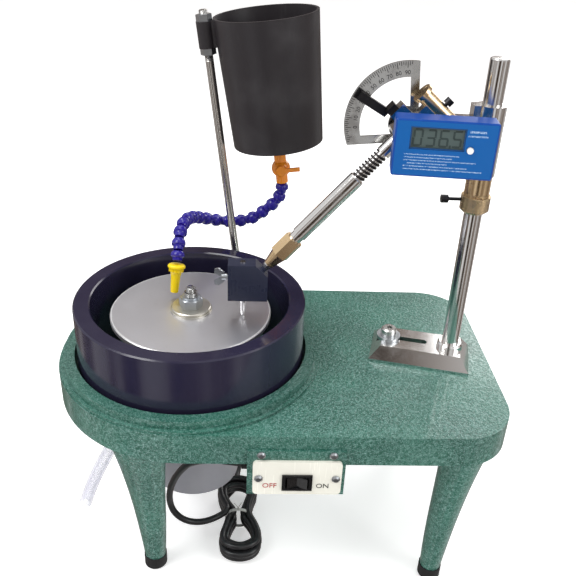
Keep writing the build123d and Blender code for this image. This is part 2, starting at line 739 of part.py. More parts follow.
def adapter_block():
    """The angle adapter with its stem along the quill and an upright bore for the dop."""
    (left, right), (low, high) = ADAPTER_BOX
    half = ADAPTER_THICKNESS / 2
    corner = Polyline((left, low), (right, low), (right, high - 11), (right - 11, high), (left, high), close=True)
    body = extrude(make_face(corner), ADAPTER_THICKNESS)
    body = Pos(0, QUILL_Y + half, 0) * Rot(90, 0, 0) * body
    stem = quill_place() * rod(STEM_RADIUS, 152, TIP + 9)
    body = body + stem - Pos(DOP_X, QUILL_Y) * rod(DOP_RADIUS, low - 1, high + 1)
    return body - wing_place() * rod(1.55, -14, 1)


def adapter_dop():
    """The dop rod through the adapter, with the tip that meets the lap."""
    tip = LAP_TOP + TOUCH_GAP
    body = turned([(0, tip), (1.4, tip), (DOP_RADIUS, tip + 5), (DOP_RADIUS, 103), (0, 103)])
    return Pos(DOP_X, QUILL_Y) * body


def wing_place():
    """The wing screw's line, with local +Z pointing out of the adapter's left side."""
    return Pos(ADAPTER_BOX[0][0], QUILL_Y, WING_SCREW_Z) * Rot(0, -90, 0)


def adapter_screw():
    """The wing screw that holds the dop."""
    body = rod(1.5, -10.4, 4) + rod(3, 1, 6)
    for side in (-1, 1):
        wing = Polyline((0, 2), (4.5, 3.5), (8.5, 8.5), (7.6, 12), (4, 12.5), (0, 6), close=True)
        body += Rot(0, 0, 90 + 90 * side) * Pos(0, 1.1, 0) * Rot(90, 0, 0) * extrude(make_face(wing), 2.2)
    return wing_place() * body


# ---------------------------------------------------------------- water


def pole_place():
    """The pole's foot on the table, with local +Z up the leaning pole."""
    return Pos(*POLE_FOOT, 0) * Rot(0, POLE_LEAN, 0)


def tank_pole():
    """The pole, with its lower end in the table."""
    body = rod(POLE_RADIUS - RUNNING_GAP, -27, POLE_TOP)
    return pole_place() * chamfer(body.edges().group_by(Axis.Z)[-1], 0.8)


def pole_nuts():
    """Three equal nuts: one on the table and one on each side of the tank's ear."""
    nut = hexagon(13, 0, 6) - rod(POLE_RADIUS - RUNNING_GAP, -1, 7)
    return [pole_place() * Pos(0, 0, z) * nut for z in (POLE_BOSS_TOP + 0.3, 260, 290)]


def tank():
    """The open tapered bucket with an ear that is bored for the pole."""
    outer = turned([(0, TANK_BOTTOM), (TANK_BOTTOM_RADIUS, TANK_BOTTOM), (TANK_TOP_RADIUS, TANK_TOP), (0, TANK_TOP)])
    inner = turned([
        (0, TANK_BOTTOM + 3), (TANK_BOTTOM_RADIUS - TANK_WALL, TANK_BOTTOM + 3),
        (TANK_TOP_RADIUS - TANK_WALL, TANK_TOP + 1), (0, TANK_TOP + 1),
    ])
    ear = rod(8, 266, 290) + block((0, 12), (-5, 5), (266, 290))
    body = Pos(TANK_X) * outer + ear - Pos(TANK_X) * inner
    body -= Pos(TANK_X) * rod(5, TANK_BOTTOM - 1, TANK_BOTTOM + 4)
    return pole_place() * (body - rod(POLE_RADIUS - RUNNING_GAP, 200, 320))


def valve_body():
    """The orange tap under the tank: threaded flange, round body and outlet."""
    z = VALVE_BALL_Z
    body = turned([
        (2.5, TANK_BOTTOM + 6), (5, TANK_BOTTOM + 6), (5, TANK_BOTTOM), (9, TANK_BOTTOM), (9, TANK_BOTTOM - 4),
        (6, TANK_BOTTOM - 4), (6, z), (6, VALVE_END_Z), (2.5, VALVE_END_Z),
    ])
    body += Pos(0, 0, z) * Sphere(9.5) - rod(2.5, VALVE_END_Z - 1, TANK_BOTTOM + 7)
    body -= lever_line() * rod(3.1, 0, 20)
    body -= lever_line() * rod(7, 7.6, 20)
    return pole_place() * Pos(TANK_X) * body


def lever_line():
    """The tap's stem line, with local +Z pointing to the front."""
    return Pos(0, 0, VALVE_BALL_Z) * Rot(90, 0, 0)


def valve_lever():
    """The tap's lever on its stem."""
    body = rod(3.0, 3, 8.2) + rod(5, 8, 11)
    body += block((0, 19), (-2, 2), (8.4, 10.6))
    return pole_place() * Pos(TANK_X) * lever_line() * body


def between(start, end):
    """A place at start with local +Z towards end, and the distance between them."""
    a, b = Vector(*start), Vector(*end)
    return Plane(a, z_dir=b - a).location, (b - a).length


def bead(length):
    """One hose segment: a ball at the start that swells into the next one's cup."""
    r = HOSE_BEAD_RADIUS
    return turned([
        (2.5, BEAD_GAP / 2), (4.2, BEAD_GAP / 2), (5.6, 0.16 * length), (r, 0.36 * length), (r, 0.52 * length),
        (5.0, 0.8 * length), (4.6, length - BEAD_GAP / 2), (2.5, length - BEAD_GAP / 2),
    ])


def hose_segments():
    """The ball-and-cup segments of the water hose, one after another."""
    beads = []
    for start, end in zip(HOSE_POINTS, HOSE_POINTS[1:]):
        place, length = between(start, end)
        beads.append(place * bead(length))
    return beads


def nozzle():
    """The yellow nozzle on the last segment."""
    place, length = between(HOSE_POINTS[-1], NOZZLE_END)
    body = turned([
        (2, 3), (6, 3), (NOZZLE_FLANGE_RADIUS, 4.4), (NOZZLE_FLANGE_RADIUS, 6.4), (7, 10), (4.8, 14),
        (3.6, length), (2, length),
    ])
    return place * body


# ---------------------------------------------------------------- cords


def route_tube(points, diameter, name):
    """A round tube along straight runs joined by tangent arcs, as large as the runs allow."""
    radii = []
    for a, b, c in zip(points, points[1:], points[2:]):
        before, after = Vector(*b) - Vector(*a), Vector(*c) - Vector(*b)
        turn = radians(before.get_angle(after))
        radii.append(0.45 * min(before.length, after.length) / tan(turn / 2))
    path = FilletPolyline(*points, radius=radii)
    tube = sweep(Plane(path @ 0, z_dir=path % 0) * Circle(diameter / 2), path=path)
    section = pi * diameter ** 2 / 4
    print(name, "radii", [round(r, 1) for r in radii])
    print(name, "length", round(path.length, 1), "volume ratio", round(tube.volume / section / path.length, 4))
    return tube


def power_cord():
    """The lead from the gland to the hank, and the short tail from the hank to the plug."""
    return [
        route_tube(CORD_ROUTE, CORD_DIAMETER, "power cord"),
        route_tube(TAIL_ROUTE, CORD_DIAMETER, "cord tail"),
    ]


def cord_hank():
    """The outer shape of the folded cord on the floor: two open loops with a tied waist."""
    half = [(-55, -104), (-55, -62), (-49.5, -54), (-55, -40), (-58, -16), (-52, 1)]
    other = [(-24, 1), (-18, -16), (-21, -40), (-22.5, -54), (-10, -66), (-14, -90), (-28, -108)]
    outline = make_face(Polyline(*half, *other, close=True))
    return extrude(outline, HANK_HEIGHT)


def mains_plug():
    """A rounded two-pin plug with a short sleeve, lying on the floor."""
    x, y, z = TAIL_ROUTE[-1]
    sleeve = Rot(-90, 0, 0) * turned([(0, 0), (4.2, 0), (6.5, 14), (0, 14)])
    body = Pos(0, 30, 0) * Box(27, 32, 20)
    body = fillet(body.edges().filter_by(Axis.Y), 6)
    pins = [Pos(side * 9.5, 46, 0) * Rot(-90, 0, 0) * rod(2, 0, 19) for side in (-1, 1)]
    return Pos(x, y, z) * (sleeve + body + pins[0] + pins[1])


def drain_hose():
    """The short clear hose from the drain spout, open at its lower end."""
    return route_tube(DRAIN_ROUTE, DRAIN_DIAMETER, "drain hose")


SPINDLE_FRAME_PARTS = {
    "base_casting": base_casting,
    "leg_front_left": lambda: leg(LEG_LEFT),
    "leg_front_right": lambda: leg(LEG_RIGHT),
    "leg_rear_left": lambda: mirror(leg(LEG_LEFT), Plane.XZ),
    "leg_rear_right": lambda: mirror(leg(LEG_RIGHT), Plane.XZ),
    "frame_bolts": frame_bolts,
    "rubber_feet": rubber_feet,
    "splash_ring": splash_ring,
    "drain_spout": drain_spout,
    "motor_housing": motor_housing,
    "motor_stator": motor_stator,
    "ball_bearings": ball_bearings,
    "motor_rotor": motor_rotor,
    "spindle": spindle,
    "lap_flange": lap_flange,
    "lap_disc": lap_disc,
    "lap_washer": lap_washer,
    "lap_nut": lap_nut,
    "switch_box": switch_box,
    "switch_plate": switch_plate,
    "switch_body": switch_body,
    "rocker": rocker,
    "switch_screws": switch_screws,
    "cord_gland": cord_gland,
    "slotted_base": slotted_base,
    "clamp_bolt": clamp_bolt,
    "clamp_washer": clamp_washer,
    "mast": mast,
    "height_collar": height_collar,
    "collar_screw": collar_screw,
    "carriage": carriage,
    "pivot_shaft": pivot_shaft,
    "quadrant": quadrant,
    "display_housing": display_housing,
    "display_back": display_back,
    "display_module": display_module,
    "display_button": display_button,
    "quill_block": quill_block,
    "pointer": pointer,
    "cross_cylinder": cross_cylinder,
    "cross_screw": cross_screw,
    "quill_shaft": quill_shaft,
    "quill_tube": quill_tube,
    "quill_spring": quill_spring,
    "collet_nut": collet_nut,
    "collet": collet,
    "adapter_block": adapter_block,
    "adapter_dop": adapter_dop,
    "adapter_screw": adapter_screw,
    "tank_pole": tank_pole,
    "pole_nuts": pole_nuts,
    "tank": tank,
    "valve_body": valve_body,
    "valve_lever": valve_lever,
    "hose_segments": hose_segments,
    "nozzle": nozzle,
}
ROW_FRAME_PARTS = {
    "power_cord": power_cord,
    "cord_hank": cord_hank,
    "mains_plug": mains_plug,
    "drain_hose": drain_hose,
}


def export(name, made, place):
    """Write one sub-part, which is a solid or a group of separate solids."""
    solids = [s for shape in (made if isinstance(made, list) else [made]) for s in shape.solids()]
    group = Compound(children=[place * s for s in solids]) if len(solids) > 1 else place * solids[0]
    export_step(group, f"parts/{name}.step")
    return group


groups = {name: export(name, make(), SPINDLE_PLACE) for name, make in SPINDLE_FRAME_PARTS.items()}
groups |= {name: export(name, make(), Pos(0, 0, 0)) for name, make in ROW_FRAME_PARTS.items()}
size = Compound(children=[g for name, g in groups.items() if name not in ROW_FRAME_PARTS]).bounding_box()
print("object without cords", size)
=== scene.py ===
"""Looks of the bench faceting machine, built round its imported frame.

Lengths in the classes are in millimetres unless a name ends in _m. Points called "bench" points are
measured from the middle of the lap's spindle at table height; the row frame stands on the floor.
"""

import json
import logging
import math
from contextlib import contextmanager
from dataclasses import dataclass, field
from enum import Enum
from typing import Callable, Dict, Iterator, List, Optional, Sequence, Tuple, Union

import bmesh
import bpy
from mathutils import Euler, Matrix, Vector

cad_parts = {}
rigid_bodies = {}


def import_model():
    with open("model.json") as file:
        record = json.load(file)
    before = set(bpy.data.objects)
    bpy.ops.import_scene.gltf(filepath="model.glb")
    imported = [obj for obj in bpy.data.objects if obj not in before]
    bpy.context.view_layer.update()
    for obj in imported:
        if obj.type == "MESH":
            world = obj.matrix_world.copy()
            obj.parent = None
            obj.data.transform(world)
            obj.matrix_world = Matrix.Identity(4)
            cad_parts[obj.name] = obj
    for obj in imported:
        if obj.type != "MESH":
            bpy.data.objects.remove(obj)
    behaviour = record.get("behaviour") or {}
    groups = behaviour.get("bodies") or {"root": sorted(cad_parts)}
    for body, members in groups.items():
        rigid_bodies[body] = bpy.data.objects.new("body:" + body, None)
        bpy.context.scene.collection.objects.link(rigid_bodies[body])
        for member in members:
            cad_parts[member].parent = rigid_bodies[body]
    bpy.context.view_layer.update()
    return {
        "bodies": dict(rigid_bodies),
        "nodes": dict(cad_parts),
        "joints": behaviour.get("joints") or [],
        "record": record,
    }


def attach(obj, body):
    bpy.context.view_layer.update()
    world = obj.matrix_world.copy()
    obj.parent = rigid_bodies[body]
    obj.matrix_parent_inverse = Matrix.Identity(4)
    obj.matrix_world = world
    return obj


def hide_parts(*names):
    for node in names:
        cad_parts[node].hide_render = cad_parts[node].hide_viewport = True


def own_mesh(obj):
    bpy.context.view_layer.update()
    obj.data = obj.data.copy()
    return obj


LOG = logging.getLogger("faceting_machine")
MM = 0.001
Colour = Tuple[float, float, float]
Point = Tuple[float, float, float]
Piece = bpy.types.Object
Look = bpy.types.Material
Socket = bpy.types.NodeSocket
SPINDLE_AT: Point = (-83.0, -17.0, 200.0)


def bench(x: float, y: float, z: float) -> Vector:
    """A bench point in millimetres as a point of the row frame in metres."""
    return (Vector((x, y, z)) + Vector(SPINDLE_AT)) * MM


def place_at(x: float, y: float, z: float, turn: Point = (0.0, 0.0, 0.0)) -> Matrix:
    """A placement in the row frame.

    Args:
        x, y, z: the bench point, in millimetres.
        turn: rotations about X, Y and Z, in degrees.

    Returns:
        The matrix that takes a piece drawn at the origin to that place.
    """
    return Matrix.Translation(bench(x, y, z)) @ Euler([math.radians(a) for a in turn]).to_matrix().to_4x4()


# ---------------------------------------------------------------- shader maths


Number = Union[float, "Wire"]


def _operator(operation: str, swapped: bool = False) -> Callable[["Wire", Number], "Wire"]:
    """A method of Wire for one two-input operation.

    Args:
        operation: the Math node's operation.
        swapped: whether the other value comes first, as in 1 - wire.

    Returns:
        The method.
    """

    def method(self: "Wire", other: Number) -> "Wire":
        """The result of the operation on this and another number."""
        values = (other, self) if swapped else (self, other)
        return self._math(operation, *values)

    return method


class Wire:
    """A number in a material's node tree; arithmetic on it adds Math nodes."""

    def __init__(self, sheet: "NodeSheet", socket: Socket) -> None:
        """Keeps the sheet that the socket belongs to."""
        self.sheet = sheet
        self.socket = socket

    def _math(self, operation: str, *values: Number) -> "Wire":
        """Adds a Math node.

        Args:
            operation: the node's operation.
            values: its inputs, in order.

        Returns:
            The node's result.
        """
        node = self.sheet.node("ShaderNodeMath", {"operation": operation}, dict(enumerate(values)))
        return Wire(self.sheet, node.outputs[0])

    __add__ = __radd__ = _operator("ADD")
    __mul__ = __rmul__ = _operator("MULTIPLY")
    __sub__ = _operator("SUBTRACT")
    __rsub__ = _operator("SUBTRACT", swapped=True)
    __truediv__ = _operator("DIVIDE")
    __pow__ = _operator("POWER")
    __gt__ = _operator("GREATER_THAN")
    __lt__ = _operator("LESS_THAN")
    atan2 = _operator("ARCTAN2")
    larger = _operator("MAXIMUM")

    def __abs__(self) -> "Wire":
        """Size without sign."""
        return self._math("ABSOLUTE", self)

    def part(self) -> "Wire":
        """The part after the decimal point."""
        return self._math("FRACT", self)

    def between(self, low: float, high: float) -> "Wire":
        """One inside the span from low to high."""
        return (self > low) * (self < high)

    def smooth(self, low: float, high: float) -> "Wire":
        """A soft step from 0 at low to 1 at high."""
        node = self.sheet.node(
            "ShaderNodeMapRange", {"interpolation_type": "SMOOTHSTEP"}, {0: self, 1: low, 2: high})
        return Wire(self.sheet, node.outputs[0])


class NodeSheet:
    """The node tree of one material or world, with the surface that every finish ends in."""

    def __init__(self, name: str, kind: str = "materials") -> None:
        """Starts an empty tree in a new material or, for "worlds", in a new world."""
        self.owner = getattr(bpy.data, kind).new(name)
        self.owner.use_nodes = True
        self.tree = self.owner.node_tree
        self.tree.nodes.clear()

    def node(
        self, kind: str, settings: Optional[dict] = None, values: Optional[dict] = None,
    ) -> bpy.types.Node:
        """Adds a node.

        Args:
            kind: the node's type.
            settings: its properties, set first; "stops" are a ramp's (position, colour) pairs.
            values: what its input sockets hold, by name or number: a value, a socket or a Wire.

        Returns:
            The new node.
        """
        made = self.tree.nodes.new(kind)
        for key, value in (settings or {}).items():
            if key == "stops":
                ramp = made.color_ramp.elements
                while len(ramp) < len(value):
                    ramp.new(0.5)
                for element, (position, colour) in zip(ramp, value):
                    element.position = position
                    element.color = (*colour, 1.0)
            else:
                setattr(made, key, value)
        for key, value in (values or {}).items():
            socket = made.inputs[key]
            if isinstance(value, Wire):
                self.tree.links.new(value.socket, socket)
            elif isinstance(value, Socket):
                self.tree.links.new(value, socket)
            else:
                socket.default_value = value
        return made

    def local(self, centre_m: Sequence[float] = (0, 0, 0), turn: Sequence[float] = (0, 0, 0)) -> Socket:
        """Object coordinates seen from a placement.

        Args:
            centre_m: its origin, in metres.
            turn: its rotations, in radians.

        Returns:
            The vector socket, in metres.
        """
        source = self.node("ShaderNodeTexCoord").outputs["Object"]
        mapping = self.node(
            "ShaderNodeMapping", {"vector_type": "TEXTURE"},
            {"Vector": source, "Location": tuple(centre_m), "Rotation": tuple(turn)},
        )
        return mapping.outputs[0]

    def axes(self, vector: Socket) -> Tuple[Wire, Wire, Wire]:
        """The three coordinates of a vector."""
        parts = self.node("ShaderNodeSeparateXYZ", {}, {0: vector})
        return tuple(Wire(self, out) for out in parts.outputs)

    def noise(self, vector: Socket, size_mm: float, detail: float = 3.0) -> Wire:
        """Soft noise with features of about size_mm."""
        made = self.node(
            "ShaderNodeTexNoise", {}, {"Vector": vector, "Scale": 1000.0 / size_mm, "Detail": detail})
        return Wire(self, made.outputs[0])

    def stretched(self, vector: Socket, scale: Point) -> Socket:
        """A vector with each axis multiplied."""
        return self.node("ShaderNodeVectorMath", {"operation": "MULTIPLY"}, {0: vector, 1: scale}).outputs[0]

    def mix(self, factor: Number, first: object, second: object) -> Socket:
        """A colour between two colours, each a triple or a socket."""
        ends = [(*c, 1.0) if isinstance(c, tuple) else c for c in (first, second)]
        made = self.node("ShaderNodeMix", {"data_type": "RGBA"}, {0: factor, 6: ends[0], 7: ends[1]})
        return made.outputs[2]

    def surface(
        self, varied: Dict[str, object], fixed: Optional[Dict[str, object]] = None,
        relief: Optional[Wire] = None, depth_mm: float = 0.1,
    ) -> Look:
        """Closes the tree with a surface.

        Args:
            varied: sockets that change over the surface.
            fixed: sockets that are the same all over.
            relief: height from 0 to 1, if any.
            depth_mm: what a relief of 1 stands for.

        Returns:
            The finished material.
        """
        values = {**(fixed or {}), **varied}
        if relief is not None:
            bump = self.node(
                "ShaderNodeBump", {}, {"Strength": 1.0, "Distance": depth_mm * MM, "Height": relief})
            values["Normal"] = bump.outputs[0]
        shader = self.node("ShaderNodeBsdfPrincipled", {}, values)
        self.node("ShaderNodeOutputMaterial", {}, {"Surface": shader.outputs[0]})
        return self.owner


# ---------------------------------------------------------------- finishes


@dataclass(frozen=True)
class HammerPaint:
    """Green hammer-effect enamel: small dimples with glossier rims, painted shade in the dimple hollows and
    paler painted highlights on the rims and in small bluish spots.
    """

    deep: Colour = (0.006, 0.06, 0.042)
    body: Colour = (0.022, 0.165, 0.11)
    glint: Colour = (0.27, 0.43, 0.42)
    cell: float = 2.6

    def make(self, name: str) -> Look:
        """The material of that name."""
        sheet = NodeSheet(name)
        spot = sheet.local()
        shift = sheet.node(
            "ShaderNodeTexNoise", {}, {"Vector": spot, "Scale": 260.0, "Detail": 2.0}).outputs[1]
        bent = sheet.node(
            "ShaderNodeVectorMath", {"operation": "MULTIPLY_ADD"}, {0: shift, 1: (0.004,) * 3, 2: spot})
        cells = sheet.node(
            "ShaderNodeTexVoronoi", {"feature": "SMOOTH_F1"},
            {"Vector": bent.outputs[0], "Scale": 1000.0 / self.cell, "Smoothness": 0.6},
        )
        dimple = Wire(sheet, cells.outputs[0])
        fine = sheet.noise(spot, 1.1, 4.0)
        broad = sheet.noise(spot, 55.0, 2.0)
        rim = dimple.smooth(0.35, 0.75)
        # Painted shade: the middles of the dimples are darkened towards the darkest green.
        base = sheet.mix(broad.smooth(0.3, 0.7) * 0.3 + dimple * 0.7, self.deep, self.body)
        # Painted highlights: small bluish-grey spots and the paler dimple rims.
        painted_highlight_flecks = fine.smooth(0.5, 0.66) * 0.48 + rim * 0.16
        colour = sheet.mix(painted_highlight_flecks, base, self.glint)
        return sheet.surface(
            {"Base Color": colour, "Roughness": 0.24 + fine * 0.22, "Coat Weight": 0.35 + rim * 0.4},
            {"Coat Roughness": 0.12, "Specular IOR Level": 0.6}, dimple * 0.8 + fine * 0.4, 0.5,
        )


@dataclass(frozen=True)
class Moulded:
    """Moulded plastic or rubber: faint flow marks, dust and handling scratches."""

    colour: Colour
    roughness: float = 0.3
    grain: float = 0.6
    grain_depth: float = 0.02
    dust: float = 0.15
    coat: float = 0.0
    gloss: float = 0.5

    def make(self, name: str) -> Look:
        """The material of that name."""
        sheet = NodeSheet(name)
        spot = sheet.local()
        broad = sheet.noise(spot, 38.0, 3.0)
        fine = sheet.noise(spot, self.grain, 2.0)
        streaks = sheet.noise(sheet.stretched(spot, (1.0, 1.0, 0.06)), 1.3, 2.0)
        paler = tuple(min(1.0, c * 1.25 + 0.02) for c in self.colour)
        colour = sheet.mix(broad.smooth(0.4, 0.75) * self.dust + streaks.smooth(0.6, 0.8) * self.dust * 0.5,
                           self.colour, paler)
        rough = broad * 0.14 + streaks.smooth(0.55, 0.75) * 0.1 + (self.roughness - 0.07)
        return sheet.surface(
            {"Base Color": colour, "Roughness": rough},
            {"Coat Weight": self.coat, "Coat Roughness": 0.08, "Specular IOR Level": self.gloss},
            fine, self.grain_depth,
        )


class Lay(Enum):
    """How the tool marks of a metal piece run, in its own placement."""

    NONE = "none"
    ALONG = "along"
    ROUND = "round"
    FACED = "faced"


@dataclass(frozen=True)
class Metal:
    """Bare metal with its tool marks, smudges and, where it has one, a thread or a knurl with painted shade
    in its grooves; where rim is set, a pale painted highlight ring at its edge.
    """

    colour: Colour
    roughness: float = 0.16
    lay: Lay = Lay.NONE
    centre: Optional[Point] = None
    turn: Point = (0.0, 0.0, 0.0)
    mark: float = 0.35
    mark_depth: float = 0.006
    smudge: float = 0.12
    stain: Colour = (0.25, 0.2, 0.15)
    stain_share: float = 0.06
    thread: Tuple[Tuple[float, float, float], ...] = ()
    knurl: Tuple[Tuple[float, float], ...] = ()
    # Radius in millimetres past which a pale painted highlight ring is drawn; 0 for none.
    rim: float = 0.0

    def make(self, name: str) -> Look:
        """The material of that name."""
        sheet = NodeSheet(name)
        place = bench(*self.centre) if self.centre else (0, 0, 0)
        spot = sheet.local(place, [math.radians(a) for a in self.turn])
        x, y, z = sheet.axes(spot)
        marks = self._marks(sheet, spot, x, y, z)
        haze = sheet.noise(spot, 16.0, 4.0)
        spots = sheet.noise(spot, 5.0, 5.0).smooth(0.58, 0.8)
        colour = sheet.mix(spots * self.stain_share + haze * self.stain_share * 0.5, self.colour, self.stain)
        rough = self.roughness + haze.smooth(0.45, 0.75) * self.smudge + marks * 0.06
        # Painted highlight: a near-white ring outside the rim radius stands for the line of light along the
        # lap's edge.
        if self.rim:
            edge = (x * x + y * y) ** 0.5 > self.rim * MM
            colour = sheet.mix(edge * 0.85, colour, (0.95, 0.95, 0.95))
            rough = rough + edge * 0.12
        relief, depth = marks, self.mark_depth
        if self.thread or self.knurl:
            relief, depth = self._relief(x, y, z), 0.45
            # Painted shade: the bottoms of the thread and knurl grooves are darkened.
            colour = sheet.mix((1 - relief) * 0.5 * self._covered(z), colour, (0.02, 0.018, 0.015))
        return sheet.surface({"Base Color": colour, "Roughness": rough}, {"Metallic": 1.0}, relief, depth)

    def _marks(self, sheet: NodeSheet, spot: Socket, x: Wire, y: Wire, z: Wire) -> Wire:
        """Tool marks from 0 to 1, by the way they run."""
        if self.lay is Lay.ALONG:
            return sheet.noise(sheet.stretched(spot, (1.0, 1.0, 0.03)), self.mark, 3.0)
        if self.lay is Lay.NONE:
            return sheet.noise(spot, 2.0, 4.0)
        radius = (x * x + y * y) ** 0.5
        along = radius if self.lay is Lay.FACED else z
        rows = sheet.node("ShaderNodeCombineXYZ", {}, {0: along, 1: y.atan2(x) * 0.0006, 2: 0.0}).outputs[0]
        return sheet.noise(rows, self.mark, 3.0)

    def _relief(self, x: Wire, y: Wire, z: Wire) -> Wire:
        """Threads and knurls as height from 0 to 1."""
        around = y.atan2(x) / (2 * math.pi)
        total: Optional[Wire] = None
        for low, high, pitch in self.thread:
            groove = abs((z * 1000.0 / pitch + around).part() - 0.5) * 2.0 * z.between(low * MM, high * MM)
            groove = groove + (1 - z.between(low * MM, high * MM))
            total = groove if total is None else total * groove
        for low, high in self.knurl:
            rows = z * 1000.0 / 1.1
            columns = around * 52.0
            across = abs((rows + columns).part() - 0.5) + abs((rows - columns).part() - 0.5)
            inside = z.between(low * MM, high * MM)
            groove = across * inside + (1 - inside)
            total = groove if total is None else total * groove
        return total

    def _covered(self, z: Wire) -> Wire:
        """One where a thread or a knurl is."""
        spans = [(low, high) for low, high, _ in self.thread] + list(self.knurl)
        masks = [z.between(low * MM, high * MM) for low, high in spans]
        total = masks[0]
        for mask in masks[1:]:
            total = total + mask
        return total


@dataclass(frozen=True)
class ClearTube:
    """Clear soft tube: mostly see-through, whiter towards its edges."""

    colour: Colour = (0.80, 0.80, 0.88)

    def make(self, name: str) -> Look:
        """The material of that name."""
        sheet = NodeSheet(name)
        facing = Wire(sheet, sheet.node("ShaderNodeLayerWeight", {}, {"Blend": 0.35}).outputs[1])
        haze = sheet.noise(sheet.local(), 14.0, 3.0)
        return sheet.surface(
            {"Base Color": sheet.mix(haze, self.colour, (0.62, 0.62, 0.74)), "Roughness": 0.06 + haze * 0.12,
             "Alpha": 0.16 + facing * 0.62 + haze * 0.06},
            {"Specular IOR Level": 0.7},
        )


@dataclass(frozen=True)
class Laminations:
    """Stacked sheet iron, seen as fine lines one above another."""

    pitch: float = 0.7

    def make(self, name: str) -> Look:
        """The material of that name."""
        sheet = NodeSheet(name)
        spot = sheet.local()
        line = abs((sheet.axes(spot)[2] * 1000.0 / self.pitch).part() - 0.5) * 2.0
        colour = sheet.mix(sheet.noise(spot, 9.0), (0.28, 0.27, 0.27), (0.20, 0.13, 0.09))
        return sheet.surface(
            {"Base Color": colour, "Roughness": 0.35 + line * 0.2}, {"Metallic": 0.8}, line, 0.1)


@dataclass(frozen=True)
class PrintedCase:
    """The display's blue case with rows of fine white print, drawn as plain dashes."""

    colour: Colour = (0.001, 0.10, 0.345)
    centre: Point = (206.5, -37.0, 223.4)
    turn: float = -6.0
    rows: Tuple[Tuple[float, float, float, float], ...] = (
        (-31.0, 12.0, -4.6, 0.8), (-31.0, 6.5, -7.0, 0.8), (-31.0, 25.5, -9.4, 0.8), (-28.0, 3.0, -11.8, 0.8),
        (-31.0, 19.0, -14.2, 0.8), (-31.0, 31.0, -16.6, 0.8),
        (17.5, 30.0, 15.6, 1.6), (16.5, 31.5, 12.2, 1.2),
    )

    def make(self, name: str) -> Look:
        """The material of that name."""
        sheet = NodeSheet(name)
        spot = sheet.local(bench(*self.centre), (0, 0, math.radians(self.turn)))
        x, y, z = sheet.axes(spot)
        letters = sheet.noise(sheet.stretched(spot, (1.0, 0.0, 0.8)), 0.62, 1.0) > 0.49
        ink: Optional[Wire] = None
        for left, right, level, tall in self.rows:
            row = x.between(left * MM, right * MM) * z.between(
                (level - tall / 2) * MM, (level + tall / 2) * MM)
            ink = row if ink is None else ink + row
        ink = ink * letters * (y < -8.5 * MM)
        edge = (abs(x) > 38.6 * MM).larger(abs(z) > 21.6 * MM)
        broad = sheet.noise(spot, 30.0, 3.0)
        base = sheet.mix(edge * 0.6 + broad * 0.15, self.colour, (0.0, 0.03, 0.26))
        colour = sheet.mix(ink * 0.62, base, (0.62, 0.78, 0.9))
        return sheet.surface(
            {"Base Color": colour, "Roughness": 0.26 + broad * 0.14}, {"Specular IOR Level": 0.25},
            sheet.noise(spot, 0.7, 2.0), 0.02,
        )


@dataclass(frozen=True)
class Liquid:
    """The unlit face of a liquid crystal display."""

    colour: Colour = (0.052, 0.082, 0.080)

    def make(self, name: str) -> Look:
        """The material of that name."""
        sheet = NodeSheet(name)
        spot = sheet.local()
        dots = sheet.noise(spot, 0.4, 1.0)
        colour = sheet.mix(sheet.noise(spot, 22.0), self.colour, (0.075, 0.105, 0.10))
        return sheet.surface(
            {"Base Color": colour, "Roughness": 0.32 + dots * 0.08}, {"Coat Weight": 0.1}, dots, 0.005)


@dataclass(frozen=True)
class Jacket:
    """The mains cord's vinyl jacket: dark, with a soft shine and faint kneading marks."""

    colour: Colour = (0.012, 0.012, 0.014)

    def make(self, name: str) -> Look:
        """The material of that name."""
        sheet = NodeSheet(name)
        spot = sheet.local()
        wave = sheet.noise(spot, 7.0, 3.0)
        fine = sheet.noise(spot, 0.5, 2.0)
        colour = sheet.mix(wave.smooth(0.45, 0.8) * 0.5, self.colour, (0.05, 0.05, 0.055))
        return sheet.surface({"Base Color": colour, "Roughness": 0.30 + wave * 0.2}, {"Coat Weight": 0.15},
                             wave * 0.6 + fine * 0.4, 0.06)


QUILL_AT: Point = (183.0, -8.0, 229.0)
QUILL_TURN: Point = (0.0, -139.0, 0.0)
POLE_AT: Point = (44.2, 115.0, 0.0)
POLE_TURN: Point = (0.0, -7.2, 0.0)
MAST_AT: Point = (250.0, -5.0, 0.0)
CHROME: Colour = (0.80, 0.79, 0.78)
STEEL: Colour = (0.60, 0.60, 0.59)
BRASS: Colour = (0.80, 0.60, 0.36)

